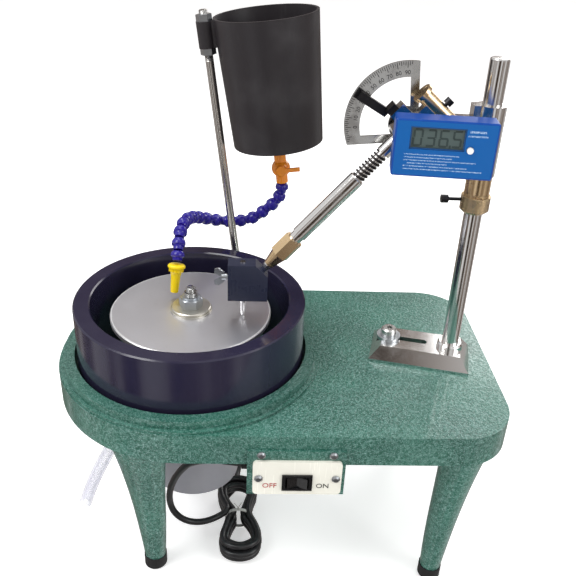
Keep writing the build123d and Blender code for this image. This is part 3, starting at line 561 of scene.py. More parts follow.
FINISHES: Dict[str, object] = {
    "hammer_green": HammerPaint(),
    "ring_violet_black": Moulded((0.018, 0.016, 0.038), 0.16, 5.0, 0.01, 0.2),
    "tank_black": Moulded((0.018, 0.015, 0.018), 0.42, 0.5, 0.03, 0.5),
    "foot_rubber": Moulded((0.012, 0.012, 0.013), 0.62, 0.5, 0.06, 0.4),
    "bolt_steel": Metal(STEEL, 0.24, Lay.NONE),
    "spindle_steel": Metal(STEEL, 0.2, Lay.ROUND, (0, 0, 0), thread=((52.5, 72.0, 1.25),)),
    # rim=73.4 paints a highlight ring along the lap's edge.
    "lap_face": Metal((0.68, 0.68, 0.715), 0.36, Lay.FACED, (0, 0, 0), mark=0.45, mark_depth=0.01,
                      smudge=0.03, stain=(0.45, 0.44, 0.43), stain_share=0.12, rim=73.4),
    "washer_faced": Metal((0.58, 0.56, 0.50), 0.32, Lay.FACED, (0, 0, 0), mark=0.3, mark_depth=0.02),
    "nut_zinc": Metal((0.50, 0.53, 0.56), 0.3, Lay.NONE, stain_share=0.12, mark_depth=0.02),
    "base_chrome": Metal(CHROME, 0.12, Lay.NONE, smudge=0.06, stain_share=0.03, mark_depth=0.002),
    "mast_chrome": Metal(CHROME, 0.1, Lay.ROUND, MAST_AT, mark=0.5, mark_depth=0.002, smudge=0.1),
    "head_chrome": Metal(CHROME, 0.13, Lay.NONE, smudge=0.1, mark_depth=0.003),
    "scale_satin": Metal((0.50, 0.50, 0.49), 0.16, Lay.NONE, smudge=0.18, mark_depth=0.006),
    "quill_chrome": Metal(CHROME, 0.12, Lay.ROUND, QUILL_AT, QUILL_TURN, mark=0.5, mark_depth=0.003),
    "nose_brass": Metal(BRASS, 0.17, Lay.ROUND, QUILL_AT, QUILL_TURN, mark=0.4, stain=(0.3, 0.16, 0.06),
                        stain_share=0.2),
    "collar_brass": Metal(BRASS, 0.2, Lay.ROUND, MAST_AT, mark=0.4, stain=(0.3, 0.16, 0.06), stain_share=0.2,
                          knurl=((157.5, 174.0),)),
    "weight_brass": Metal(BRASS, 0.2, Lay.ALONG, QUILL_AT, QUILL_TURN, mark=0.4, stain=(0.3, 0.16, 0.06),
                          stain_share=0.25),
    "spring_dark": Metal((0.06, 0.055, 0.055), 0.28, Lay.NONE),
    "black_oxide": Metal((0.035, 0.035, 0.04), 0.34, Lay.NONE, stain=(0.1, 0.09, 0.08), stain_share=0.3),
    "pole_steel": Metal((0.62, 0.60, 0.57), 0.18, Lay.ROUND, POLE_AT, POLE_TURN, mark=0.6,
                        thread=((254.0, 301.0, 1.25), (-20.0, 22.0, 1.25))),
    "dop_steel": Metal(CHROME, 0.1, Lay.ALONG, (48.3, -8, 60)),
    "motor_grey": Moulded((0.28, 0.28, 0.31), 0.38, 0.8, 0.04, 0.3),
    "laminations": Laminations(),
    "plate_cream": Moulded((0.75, 0.74, 0.66), 0.24, 0.7, 0.01, 0.2, 0.2),
    "switch_black": Moulded((0.01, 0.01, 0.011), 0.2, 0.6, 0.01, 0.3, 0.2),
    "display_case": PrintedCase(),
    "display_face": Liquid(),
    "button_white": Moulded((0.78, 0.78, 0.78), 0.25, 0.6, 0.01, 0.1),
    "adapter_black": Moulded((0.022, 0.026, 0.05), 0.28, 0.35, 0.03, 0.15),
    "tap_orange": Moulded((0.80, 0.25, 0.012), 0.24, 0.6, 0.01, 0.25, 0.3),
    "hose_blue": Moulded((0.018, 0.010, 0.25), 0.22, 0.6, 0.01, 0.12, 0.15, 0.4),
    "nozzle_yellow": Moulded((0.94, 0.68, 0.004), 0.24, 0.6, 0.01, 0.06, 0.1, 0.35),
    "tube_clear": ClearTube(),
    "cord_jacket": Jacket(),
    "tie_white": Moulded((0.62, 0.62, 0.60), 0.4, 0.6, 0.01, 0.3),
    "ink_black": Moulded((0.01, 0.01, 0.012), 0.5, 0.4, 0.005, 0.2),
    "ink_red": Moulded((0.42, 0.02, 0.02), 0.45, 0.4, 0.005, 0.2),
    "digit_ink": Moulded((0.026, 0.044, 0.043), 0.35, 0.5, 0.002, 0.1),
    "bezel_blue": Moulded((0.003, 0.06, 0.2), 0.4, 0.5, 0.005, 0.1),
}


class Paintbox:
    """Makes each finish once and hands out its material."""

    def __init__(self, finishes: Dict[str, object]) -> None:
        """Keeps the finishes by name."""
        self.finishes = finishes
        self.made: Dict[str, Look] = {}

    def get(self, name: str) -> Look:
        """The material of that finish."""
        if name not in self.made:
            self.made[name] = self.finishes[name].make(name)
        return self.made[name]

    def dress(self, obj: Piece, name: str) -> None:
        """Gives a piece or a CAD node that finish all over."""
        obj.data.materials.clear()
        obj.data.materials.append(self.get(name))


# ---------------------------------------------------------------- modelling


class Workshop:
    """Hand modelling with Blender's own operators, one piece at a time."""

    @staticmethod
    def clear() -> None:
        """Leaves nothing selected and nothing active."""
        for obj in list(bpy.context.selected_objects):
            obj.select_set(False)
        bpy.context.view_layer.objects.active = None

    @staticmethod
    def only(obj: Piece) -> None:
        """Selects one object and makes it active."""
        Workshop.clear()
        obj.select_set(True)
        bpy.context.view_layer.objects.active = obj

    @staticmethod
    def start(name: str, kind: str, **sizes: object) -> Piece:
        """Adds a primitive.

        Args:
            name: the piece's name.
            kind: the primitive, such as "cube".
            sizes: the operator's settings, in metres.

        Returns:
            The new object, active and alone selected.
        """
        Workshop.clear()
        getattr(bpy.ops.mesh, f"primitive_{kind}_add")(**sizes)
        obj = bpy.context.active_object
        obj.name = obj.data.name = name
        return obj

    @staticmethod
    @contextmanager
    def editing(obj: Piece, mode: str = "FACE") -> Iterator[None]:
        """Edit mode on one object, with its whole mesh selected at first."""
        Workshop.only(obj)
        bpy.ops.object.mode_set(mode="EDIT")
        bpy.ops.mesh.select_mode(type=mode)
        bpy.ops.mesh.select_all(action="SELECT")
        yield
        bpy.ops.object.mode_set(mode="OBJECT")

    @staticmethod
    def pick(obj: Piece, test: Callable[[Vector, Vector], bool]) -> None:
        """Selects faces while in edit mode.

        Args:
            obj: the object being edited.
            test: takes a face's middle and its normal, and says whether it is wanted.
        """
        mesh = bmesh.from_edit_mesh(obj.data)
        for face in mesh.faces:
            face.select_set(False)
        for face in mesh.faces:
            if test(face.calc_center_median(), face.normal):
                face.select_set(True)
        bmesh.update_edit_mesh(obj.data)

    @staticmethod
    def modify(obj: Piece, kind: str, **settings: object) -> None:
        """Adds a modifier with these settings and applies it."""
        Workshop.only(obj)
        made = obj.modifiers.new(kind.title(), kind)
        for key, value in settings.items():
            setattr(made, key, value)
        bpy.ops.object.modifier_apply(modifier=made.name)

    @staticmethod
    def smooth(obj: Piece, angle: float = 38.0) -> Piece:
        """Shades smooth across edges blunter than an angle in degrees."""
        Workshop.only(obj)
        bpy.ops.object.shade_smooth_by_angle(angle=math.radians(angle))
        return obj

    @staticmethod
    def turned(name: str, outline: Sequence[Tuple[float, float]], sides: int = 36) -> Piece:
        """A piece turned about Z by drawing a ring out step by step.

        Args:
            name: the piece's name.
            outline: (radius, height) of each ring in millimetres; it is hollow if the last is the first.
            sides: how many sides the rings have.

        Returns:
            The piece, at the origin.
        """
        hollow = outline[0] == outline[-1]
        (radius, height) = outline[0]
        obj = Workshop.start(name, "circle", vertices=sides, radius=radius * MM, location=(0, 0, height * MM),
                             fill_type="NOTHING" if hollow else "NGON")
        bpy.ops.object.transform_apply(location=True, rotation=True, scale=True)
        with Workshop.editing(obj, "EDGE"):
            for (r0, z0), (r1, z1) in zip(outline, outline[1:]):
                bpy.ops.mesh.extrude_edges_move(TRANSFORM_OT_translate={"value": (0, 0, (z1 - z0) * MM)})
                if r1 != r0:
                    bpy.ops.transform.resize(value=(r1 / r0, r1 / r0, 1.0), center_override=(0, 0, z1 * MM))
            if not hollow:
                bpy.ops.mesh.edge_face_add()
            bpy.ops.mesh.select_all(action="SELECT")
            bpy.ops.mesh.remove_doubles(threshold=1e-6)
            bpy.ops.mesh.normals_make_consistent(inside=False)
        return Workshop.smooth(obj)

    @staticmethod
    def bar(
        name: str, size: Point, middle: Point = (0, 0, 0), round_mm: float = 0.4, steps: int = 2,
    ) -> Piece:
        """A bar with eased edges.

        Args:
            name: the piece's name.
            size: its sides in millimetres.
            middle: its middle, in millimetres.
            round_mm: how far the edges are eased.
            steps: segments of the easing.

        Returns:
            The piece.
        """
        obj = Workshop.start(name, "cube", size=MM)
        with Workshop.editing(obj):
            bpy.ops.transform.resize(value=size, center_override=(0, 0, 0))
            bpy.ops.transform.translate(value=[c * MM for c in middle])
            bpy.ops.mesh.bevel(offset=round_mm * MM, segments=steps, affect="EDGES")
        return Workshop.smooth(obj)

    @staticmethod
    def text(name: str, words: str, tall: float, thick: float = 0.12) -> Piece:
        """Raised lettering on the local XY plane, centred, as a mesh.

        Args:
            name: the piece's name.
            words: plain figures or words.
            tall: the height of a capital, in millimetres.
            thick: how far it stands up, in millimetres.

        Returns:
            The piece.
        """
        Workshop.clear()
        bpy.ops.object.text_add()
        obj = bpy.context.active_object
        obj.name = name
        obj.data.body = words
        obj.data.size = tall * MM / 0.7
        obj.data.extrude = thick * MM / 2
        obj.data.align_x, obj.data.align_y = "CENTER", "CENTER"
        obj.data.resolution_u = 3
        bpy.ops.object.convert(target="MESH")
        return bpy.context.active_object

    @staticmethod
    def spline(
        name: str, points: Sequence[Point], radius: float, steps: int, sides: int, capped: bool = False,
    ) -> Piece:
        """One smooth open spline with a round section.

        Args:
            name: the piece's name.
            points: its control points, in millimetres in the row frame.
            radius: its section's radius in millimetres, or 0 for a bare line.
            steps: segments between two control points.
            sides: how finely the section is rounded.
            capped: whether its ends are closed.

        Returns:
            The curve.
        """
        data = bpy.data.curves.new(name, "CURVE")
        data.dimensions = "3D"
        line = data.splines.new("NURBS")
        line.points.add(len(points) - 1)
        for control, (x, y, z) in zip(line.points, points):
            control.co = (x * MM, y * MM, z * MM, 1.0)
        line.order_u = 3
        line.use_endpoint_u = True
        line.resolution_u = steps
        data.bevel_depth = radius * MM
        data.bevel_resolution = sides
        data.use_fill_caps = capped
        obj = bpy.data.objects.new(name, data)
        bpy.context.scene.collection.objects.link(obj)
        return obj

    @staticmethod
    def copy(obj: Piece, name: str, matrix: Matrix) -> Piece:
        """Another piece with its own mesh, moved by a matrix."""
        made = obj.copy()
        made.data = obj.data.copy()
        made.name = made.data.name = name
        bpy.context.scene.collection.objects.link(made)
        made.data.transform(matrix)
        return made

    @staticmethod
    def join(name: str, parts: Sequence[Piece]) -> Piece:
        """Several meshes as one piece."""
        Workshop.clear()
        for part in parts:
            part.select_set(True)
        bpy.context.view_layer.objects.active = parts[0]
        if len(parts) > 1:
            bpy.ops.object.join()
        parts[0].name = parts[0].data.name = name
        return parts[0]


@dataclass
class Maker:
    """What every sub-assembly needs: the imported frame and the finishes."""

    frame: dict
    paints: Paintbox

    def node(self, name: str, finish: str) -> None:
        """Dresses a CAD node whose shape is right."""
        self.paints.dress(self.frame["nodes"][name], finish)

    def dress(self) -> None:
        """Dresses every CAD node of the sub-assembly."""
        for name, finish in self.finishes.items():
            self.node(name, finish)

    def settle(
        self, obj: Piece, body: str, finish: str, slot: str,
        matrix: Optional[Matrix] = None, stands_for: Sequence[str] = (),
    ) -> Piece:
        """Puts a finished piece in its place.

        Args:
            obj: the piece, drawn at the origin.
            body: the CAD body it moves with.
            finish: its finish.
            slot: the record's material slot; not used.
            matrix: its placement in the row frame.
            stands_for: the CAD nodes it replaces.

        Returns:
            The piece.
        """
        if matrix is not None:
            obj.data.transform(matrix)
        self.paints.dress(obj, finish)
        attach(obj, body)
        if stands_for:
            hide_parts(*stands_for)
        LOG.info("%s on %s: %d faces", obj.name, body, len(getattr(obj.data, "polygons", [])))
        return obj


# ---------------------------------------------------------------- studio


@dataclass
class Studio:
    """Pale floor, soft lights and the camera."""

    eye_m: Point = (-0.02237, -0.59901, 0.59638)
    pitch: float = 29.106
    roll: float = 2.612
    yaw: float = 2.928
    lens: float = 44.707
    room_strength: float = 0.8
    band_scale: float = 2.1
    paler_above: float = 0.06
    bands: Tuple[Tuple[float, Colour], ...] = (
        (0.34, (0.02, 0.014, 0.011)), (0.43, (0.22, 0.165, 0.13)),
        (0.51, (0.74, 0.72, 0.71)), (0.6, (1.0, 1.0, 1.0)),
    )
    lights: Tuple[Tuple[str, Point, float, float], ...] = (
        ("key", (-0.9, -0.5, 1.6), 0.9, 17.5), ("fill", (1.3, -0.8, 1.1), 0.8, 8.0),
        ("top", (0.1, 0.5, 1.9), 1.3, 12.0), ("rim", (0.9, 1.3, 0.9), 0.6, 5.0),
    )

    def build(self) -> None:
        """Sets up the stage."""
        self._camera()
        self._lights()
        self._world()
        self._floor()
        bpy.context.scene.view_settings.view_transform = "Standard"

    def _camera(self) -> None:
        """The camera at its own place and tilt."""
        th, ps, ro = (math.radians(a) for a in (self.pitch, self.yaw, self.roll))
        ahead = Vector((math.sin(ps) * math.cos(th), math.cos(ps) * math.cos(th), -math.sin(th)))
        right = Vector((math.cos(ps), -math.sin(ps), 0.0))
        above = right.cross(ahead)
        across = right * math.cos(ro) + above * math.sin(ro)
        upward = above * math.cos(ro) - right * math.sin(ro)
        data = bpy.data.cameras.new("camera")
        data.lens, data.sensor_width = self.lens, 36.0
        data.clip_start, data.clip_end = 0.02, 60.0
        camera = bpy.data.objects.new("camera", data)
        bpy.context.scene.collection.objects.link(camera)
        turned = Matrix((across, upward, -ahead)).transposed().to_4x4()
        camera.matrix_world = Matrix.Translation(self.eye_m) @ turned
        bpy.context.scene.camera = camera

    def _lights(self) -> None:
        """Large soft lamps that all face the machine."""
        for name, spot, size, power in self.lights:
            data = bpy.data.lights.new(name, "AREA")
            data.size, data.energy = size, power
            lamp = bpy.data.objects.new(name, data)
            bpy.context.scene.collection.objects.link(lamp)
            lamp.location = spot
            lamp.rotation_euler = (Vector((0, 0, 0.2)) - Vector(spot)).to_track_quat("-Z", "Y").to_euler()

    def _world(self) -> None:
        """A pale room with warm dark upright bands, for the bright metal to reflect."""
        sheet = NodeSheet("room", "worlds")
        bpy.context.scene.world = sheet.owner
        ahead = sheet.node("ShaderNodeTexCoord").outputs["Generated"]
        level = sheet.stretched(ahead, (1.0, 1.0, 0.22))
        around = sheet.node("ShaderNodeVectorMath", {"operation": "NORMALIZE"}, {0: level}).outputs[0]
        bands = Wire(sheet, sheet.node("ShaderNodeTexNoise", {}, {
            "Vector": around, "Scale": self.band_scale, "Detail": 1.5}).outputs[0])
        above = sheet.axes(ahead)[2].larger(0.0)
        shade = above * self.paler_above + bands
        ramp = sheet.node("ShaderNodeValToRGB", {"stops": self.bands}, {"Fac": shade})
        light = sheet.node(
            "ShaderNodeBackground", {}, {"Color": ramp.outputs[0], "Strength": self.room_strength})
        plain = sheet.node("ShaderNodeBackground", {}, {"Color": (1.0, 1.0, 1.0, 1.0), "Strength": 1.0})
        seen = sheet.node("ShaderNodeLightPath").outputs["Is Camera Ray"]
        shown = sheet.node("ShaderNodeMixShader", {}, {0: seen, 1: light.outputs[0], 2: plain.outputs[0]})
        sheet.node("ShaderNodeOutputWorld", {}, {"Surface": shown.outputs[0]})

    def _floor(self) -> None:
        """A wide pale floor."""
        floor = Workshop.start("floor", "plane", size=40.0)
        sheet = NodeSheet("floor_white")
        cloud = sheet.noise(sheet.local(), 300.0, 2.0)
        finish = sheet.surface({"Base Color": sheet.mix(cloud, (0.94, 0.94, 0.94), (0.97, 0.97, 0.97)),
                                "Roughness": 0.55 + cloud * 0.1},
                               {"Emission Color": (1.0, 1.0, 1.0, 1.0), "Emission Strength": 0.45})
        floor.data.materials.append(finish)
        floor.visible_glossy = False


# ---------------------------------------------------------------- cords


@dataclass
class MainsCord(Maker):
    """The mains lead: down from the gland, folded in a tied hank on the floor, and on to its plug."""

    diameter: float = 6.5
    length_m: float = 1.5
    exit_point: Point = (-49.0, -115.0, 150.0)
    down: Tuple[Point, ...] = (
        (-49, -115, 150), (-60, -114.5, 149), (-71, -111, 144.5), (-81, -104.5, 135), (-89, -96.5, 119.5),
        (-96, -88.5, 102), (-102, -81.5, 82), (-104.5, -77, 61), (-101, -74, 41), (-90.5, -72, 27),
        (-75, -69.5, 21.5), (-59, -64, 22.5),
    )
    tail: Tuple[Point, ...] = ((-38, 1, 5), (-40, 13, 3.6), (-39, 27, 4.5), (-36, 40, 11))
    waist: Point = (-36.0, -54.0, 10.5)
    turns: Tuple[Tuple[float, float, float, float, float, float], ...] = (
        # rear half width, front half width, waist half width, rear end, front end, height
        (19.2, 19.0, 9.6, -3.0, -101.0, 20.6),
        (14.4, 15.0, 3.3, -9.5, -95.5, 17.2),
        (19.6, 19.8, 9.7, -1.5, -105.0, 13.8),
        (14.6, 15.4, 3.3, -8.5, -99.5, 10.4),
        (19.0, 19.2, 9.5, -4.0, -103.5, 7.0),
        (15.5, 15.0, 3.4, -6.0, -97.0, 3.7),
    )

    def route(self) -> List[Point]:
        """Every control point of the lead, in millimetres in the row frame."""
        points: List[Point] = list(self.down)
        cx, cy, _ = self.waist
        for rear, front, neck, rear_end, front_end, z in self.turns:
            x, fx = cx - 2.0, cx + 3.0
            points += [
                (cx - neck, cy + 4, z), (x - rear * 0.8, cy + 18, z), (x - rear, cy + 34, z + 0.4),
                (x - rear * 0.78, rear_end - 4.5, z + 0.4), (x, rear_end, z),
                (x + rear * 0.78, rear_end - 5, z + 0.3),
                (x + rear, cy + 33, z), (x + rear * 0.72, cy + 17, z), (cx + neck, cy, z - 0.2),
                (fx + front * 0.78, cy - 16, z), (fx + front, cy - 31, z + 0.3),
                (fx + front * 0.76, front_end + 5, z + 0.2), (fx, front_end, z),
                (fx - front * 0.78, front_end + 4.5, z), (fx - front, cy - 32, z - 0.4),
                (fx - front * 0.78, cy - 16, z - 1.2), (cx - neck, cy - 4, z - 1.6),
            ]
        points = points[:-14]
        return [(x, y, max(z, self.diameter / 2 + 0.2)) for x, y, z in points] + list(self.tail)

    def build(self) -> None:
        """Makes the lead, its tie and its plug."""
        self.node("cord_gland", "foot_rubber")
        cord = Workshop.spline("mains_cord", self.route(), self.diameter / 2, steps=8, sides=5, capped=True)
        self.settle(cord, "frame", "cord_jacket", "cord_black", stands_for=("power_cord", "cord_hank"))
        pieces = self._tie() + self._plug()

    def _tie(self) -> List[Piece]:
        """A flat wire tie round the waist, with its ends twisted together on top."""
        cx, cy, _ = self.waist
        band = Workshop.start("cord_tie", "circle", vertices=40, radius=13.4 * MM)
        with Workshop.editing(band, "EDGE"):
            bpy.ops.transform.resize(value=(1.0, 0.875, 1.0), center_override=(0, 0, 0))
            bpy.ops.mesh.extrude_edges_move(TRANSFORM_OT_translate={"value": (0, 0, 3.4 * MM)})
            bpy.ops.mesh.select_all(action="SELECT")
            bpy.ops.mesh.normals_make_consistent(inside=False)
        Workshop.modify(band, "SOLIDIFY", thickness=0.7 * MM, offset=1.0)
        Workshop.modify(band, "BEVEL", width=0.15 * MM, segments=2)
        band.data.transform(Matrix.Translation(Vector((cx, cy + 1.7, 12.55)) * MM)
                            @ Matrix.Rotation(math.pi / 2, 4, "X"))
        ends = []
        for side, lean in ((-1, 24), (1, -31)):
            end = Workshop.bar("cord_tie_end", (1.3, 0.8, 11.0), (0, 0, 5.5), 0.3)
            end.data.transform(Matrix.Translation(Vector((cx + side * 1.2, cy, 24.5)) * MM)
                               @ Matrix.Rotation(math.radians(lean), 4, "Y"))
            ends.append(end)
        tie = Workshop.join("cord_tie", [band, *ends])
        return [self.settle(Workshop.smooth(tie), "frame", "tie_white", "cord_black")]

    def _plug(self) -> List[Piece]:
        """The moulded plug with its ribbed sleeve and two pins."""
        x, y, z = self.tail[-1]
        place = Matrix.Translation(Vector((x, y, z)) * MM) @ Matrix.Rotation(-math.pi / 2, 4, "X")
        sleeve = Workshop.turned("plug_sleeve", [
            (3.3, 0), (4.2, 0), (4.5, 1.6), (4.1, 2.2), (4.2, 3.6), (4.9, 4), (5.1, 5.6), (4.7, 6.2),
            (4.9, 7.8), (5.6, 8.2), (5.9, 9.8), (5.4, 10.4), (5.8, 12), (6.6, 13), (6.8, 14.6),
        ])
        body = Workshop.bar("plug_body", (27, 20, 32), (0, 0, 30), 5.5, 5)
        with Workshop.editing(body):
            Workshop.pick(body, lambda c, n: n.z < -0.9)
            bpy.ops.transform.resize(value=(0.72, 0.8, 1.0), center_override=(0, 0, 14 * MM))
            Workshop.pick(body, lambda c, n: n.z > 0.9)
            bpy.ops.mesh.inset(thickness=2.2 * MM, depth=-0.6 * MM)
        plug = Workshop.join("plug_moulding", [body, sleeve])
        plug = self.settle(
            Workshop.smooth(plug), "frame", "cord_jacket", "cord_black", place, ("mains_plug",))
        pins = []
        for side in (-1, 1):
            pin = Workshop.turned("plug_pin", [(2, 44), (2, 61.5), (1.6, 64), (0.8, 65)], 20)
            pin.data.transform(Matrix.Translation((side * 9.5 * MM, 0, 0)))
            pins.append(pin)
        pins = [self.settle(Workshop.join("plug_pins", pins), "frame", "nut_zinc", "steel", place)]
        return [plug, *pins]


@dataclass
class Drain(Maker):
    """The spout under the ring and the short clear hose on it."""

    diameter: float = 12.0
    wall: float = 1.7
    length_m: float = 0.102
    points: Tuple[Point, ...] = (
        (-149, -63, 152), (-152, -66, 137), (-160, -70, 119),
        (-170, -74, 100), (-179.5, -76.5, 79), (-187, -77.5, 57),
    )

    def build(self) -> None:
        """Makes the hose as an open tube with a wall."""
        self.node("drain_spout", "bolt_steel")
        line = Workshop.spline("drain_line", self.points, 0.0, steps=10, sides=7)
        bare = bpy.data.meshes.new_from_object(line)
        bpy.data.objects.remove(line)
        hose = Workshop.spline("drain_hose_clear", self.points, self.diameter / 2, steps=10, sides=7)
        Workshop.only(hose)
        bpy.ops.object.convert(target="MESH")
        hose = bpy.context.active_object
        with Workshop.editing(hose):
            bpy.ops.mesh.remove_doubles(threshold=1e-6)
            bpy.ops.mesh.normals_make_consistent(inside=False)
        Workshop.modify(hose, "SOLIDIFY", thickness=self.wall * MM, offset=-1.0)
        self.settle(
            Workshop.smooth(hose, 50), "frame", "tube_clear", "clear_hose", stands_for=("drain_hose",))


# ---------------------------------------------------------------- stand


@dataclass
class Stand(Maker):
    """The casting on its legs, with the ring, the lap and the motor."""

    finishes: Dict[str, str] = field(default_factory=lambda: {
        "base_casting": "hammer_green", "leg_front_left": "hammer_green", "leg_front_right": "hammer_green",
        "leg_rear_left": "hammer_green", "leg_rear_right": "hammer_green", "switch_box": "hammer_green",
        "frame_bolts": "bolt_steel", "rubber_feet": "foot_rubber", "splash_ring": "ring_violet_black",
        "motor_housing": "motor_grey", "motor_stator": "laminations", "motor_rotor": "laminations",
        "ball_bearings": "bolt_steel", "spindle": "spindle_steel", "lap_flange": "bolt_steel",
        "lap_disc": "lap_face", "lap_washer": "washer_faced", "lap_nut": "nut_zinc",
    })

    def build(self) -> None:
        """Dresses the stand's CAD nodes."""
        self.dress()


@dataclass
class Switch(Maker):
    """The switch with its plate and the words beside its rocker."""

    face_y: float = -129.62
    words: Tuple[Tuple[str, str, float, float, float], ...] = (
        ("OFF", "ink_red", 75.5, -50.0, 5.0), ("ON", "ink_black", 121.0, -50.0, 5.0),
    )

    def build(self) -> None:
        """Dresses the switch and puts its words on the plate."""
        self.node("switch_plate", "plate_cream")
        self.node("switch_body", "switch_black")
        self.node("rocker", "switch_black")
        self.node("switch_screws", "nut_zinc")
        for word, finish, x, z, tall in self.words:
            piece = Workshop.text(f"switch_word_{word.lower()}", word, tall, 0.16)
            self.settle(piece, "frame", finish, "cream_plastic", place_at(x, self.face_y, z, (90, 0, 0)))


# ---------------------------------------------------------------- mast and head


@dataclass
class MastAndHead(Maker):
    """The slotted base, the mast and everything on the tilting head's carriage."""

    finishes: Dict[str, str] = field(default_factory=lambda: {
        "slotted_base": "base_chrome", "clamp_bolt": "bolt_steel", "clamp_washer": "nut_zinc",
        "mast": "mast_chrome",
        "height_collar": "collar_brass", "collar_screw": "black_oxide", "carriage": "head_chrome",
        "pivot_shaft": "head_chrome", "quadrant": "scale_satin",
    })
    pivot: Tuple[float, float] = (183.0, 229.0)
    face_y: float = 2.94
    outer: float = 51.4
    label_radius: float = 42.6
    scale_turn: float = 5.0

    def build(self) -> None:
        """Dresses the head and engraves its angle scale."""
        self.dress()
        self._ticks()
        self._numbers()

    def _on_scale(self, degrees: float, radius: float, lift: float = 0.0) -> Matrix:
        """A place on the scale's face, with local Y pointing outwards and local Z to the front."""
        angle = math.radians(180.0 + self.scale_turn - degrees)
        x = self.pivot[0] + radius * math.cos(angle)
        z = self.pivot[1] + radius * math.sin(angle)
        return place_at(x, self.face_y - lift, z) @ Matrix.Rotation(math.pi / 2, 4, "X") @ Matrix.Rotation(
            angle - math.pi / 2, 4, "Z")

    def _ticks(self) -> None:
        """Fine lines at every two degrees, longer at tens."""
        marks = []
        pattern = Workshop.start("tick_pattern", "cube", size=MM)
        with Workshop.editing(pattern):
            bpy.ops.transform.resize(value=(0.5, 1.0, 0.1), center_override=(0, 0, 0))
            bpy.ops.mesh.bevel(offset=0.02 * MM, segments=1)
        for degrees in range(-14, 96, 2):
            long = 5.2 if degrees % 10 == 0 else 3.2 if degrees % 4 == 0 else 2.4
            place = self._on_scale(degrees, self.outer - long / 2) @ Matrix.Diagonal((1.0, long, 1.0, 1.0))
            marks.append(Workshop.copy(pattern, "scale_tick", place))
        bpy.data.objects.remove(pattern)
        self.settle(Workshop.join("scale_ticks", marks), "head", "ink_black", "black_oxide")

    def _numbers(self) -> None:
        """Plain figures at every ten degrees."""
        figures = []
        for degrees in range(0, 100, 10):
            figure = Workshop.text("scale_figure", str(degrees), 3.4)
            figure.data.transform(self._on_scale(degrees, self.label_radius))
            figures.append(figure)
        self.settle(Workshop.join("scale_figures", figures), "head", "ink_black", "black_oxide")


@dataclass
class Display(Maker):
    """The angle display: its case, the window's frame and the figures on its face."""

    centre: Point = (206.5, -37.0, 223.4)
    turn: float = -6.0
    window: Tuple[float, float] = (-6.5, 8.5)
    window_size: Tuple[float, float] = (43.0, 18.0)
    reading: str = "036.5"
    digit: Tuple[float, float] = (6.2, 12.4)
    pitch: float = 10.2
    stroke: float = 1.5

    LIT = {
        "0": "abcdef", "1": "bc", "2": "abged", "3": "abgcd", "4": "fgbc", "5": "afgcd", "6": "afgedc",
        "7": "abc", "8": "abcdefg", "9": "abcdfg",
    }

    def build(self) -> None:
        """Dresses the case and adds its face."""
        for name, finish in (("display_housing", "display_case"), ("display_back", "display_case"),
                             ("display_module", "display_face"), ("display_button", "button_white")):
            self.node(name, finish)
        self._bezel()
        self._figures()

    def _place(self) -> Matrix:
        """The middle of the case, with local Y to its back."""
        return place_at(*self.centre, (0, 0, self.turn))

    def _facing(self, x: float, y: float, z: float) -> Matrix:
        """A place on the case, in millimetres, with local Z to its front."""
        return self._place() @ Matrix.Translation(Vector((x, y, z)) * MM) @ Matrix.Rotation(
            math.pi / 2, 4, "X")

    def _bezel(self) -> None:
        """A thin dark frame inside the window's edge."""
        (x, z), (wide, tall) = self.window, self.window_size
        frame = Workshop.start("window_frame", "plane", size=MM)
        with Workshop.editing(frame):
            bpy.ops.transform.resize(value=(wide - 0.3, tall - 0.3, 1.0), center_override=(0, 0, 0))
            bpy.ops.mesh.inset(thickness=0.9 * MM)
            bpy.ops.mesh.delete(type="FACE")
        Workshop.modify(frame, "SOLIDIFY", thickness=0.7 * MM, offset=1.0)
        place = self._facing(x, -7.6, z)
        self.settle(frame, "head", "bezel_blue", "display_blue", place)

    def _figures(self) -> None:
        """Seven-segment figures just in front of the glass."""
        wide, tall = self.digit
        half, level = tall / 2, wide / 2
        spots = {
            "a": (0, half, True), "g": (0, 0, True), "d": (0, -half, True), "f": (-level, half / 2, False),
            "b": (level, half / 2, False), "e": (-level, -half / 2, False), "c": (level, -half / 2, False),
        }
        bars = {}
        for flat, size in ((True, (wide - 0.5, self.stroke, 0.16)), (False, (self.stroke, half - 0.5, 0.16))):
            bars[flat] = Workshop.bar("segment", size, (0, 0, 0), 0.05, 1)
            with Workshop.editing(bars[flat]):
                axis = 0 if flat else 1
                Workshop.pick(bars[flat], lambda c, n, k=axis: abs(n[k]) > 0.9)
                squeeze = (1.0, 0.3, 1.0) if flat else (0.3, 1.0, 1.0)
                bpy.ops.transform.resize(value=squeeze, center_override=(0, 0, 0))
        shown, at = [], -(len(self.reading) - 2) / 2 * self.pitch
        for sign in self.reading:
            if sign == ".":
                dot = Matrix.Translation(Vector((at - self.pitch / 2, -half, 0)) * MM) @ Matrix.Diagonal(
                    (1.0, 0.42, 1.0, 1.0))
                shown.append(Workshop.copy(bars[False], "figure_point", dot))
                continue
            for key in self.LIT[sign]:
                x, y, flat = spots[key]
                lean = y * 0.09
                shown.append(Workshop.copy(bars[flat], "figure_bar",
                                           Matrix.Translation(Vector((at + x + lean, y, 0)) * MM)))
            at += self.pitch
        for bar in bars.values():
            bpy.data.objects.remove(bar)
        x, z = self.window
        place = self._facing(x, -7.1, z)
        self.settle(Workshop.join("display_figures", shown), "head", "digit_ink", "black_oxide", place)


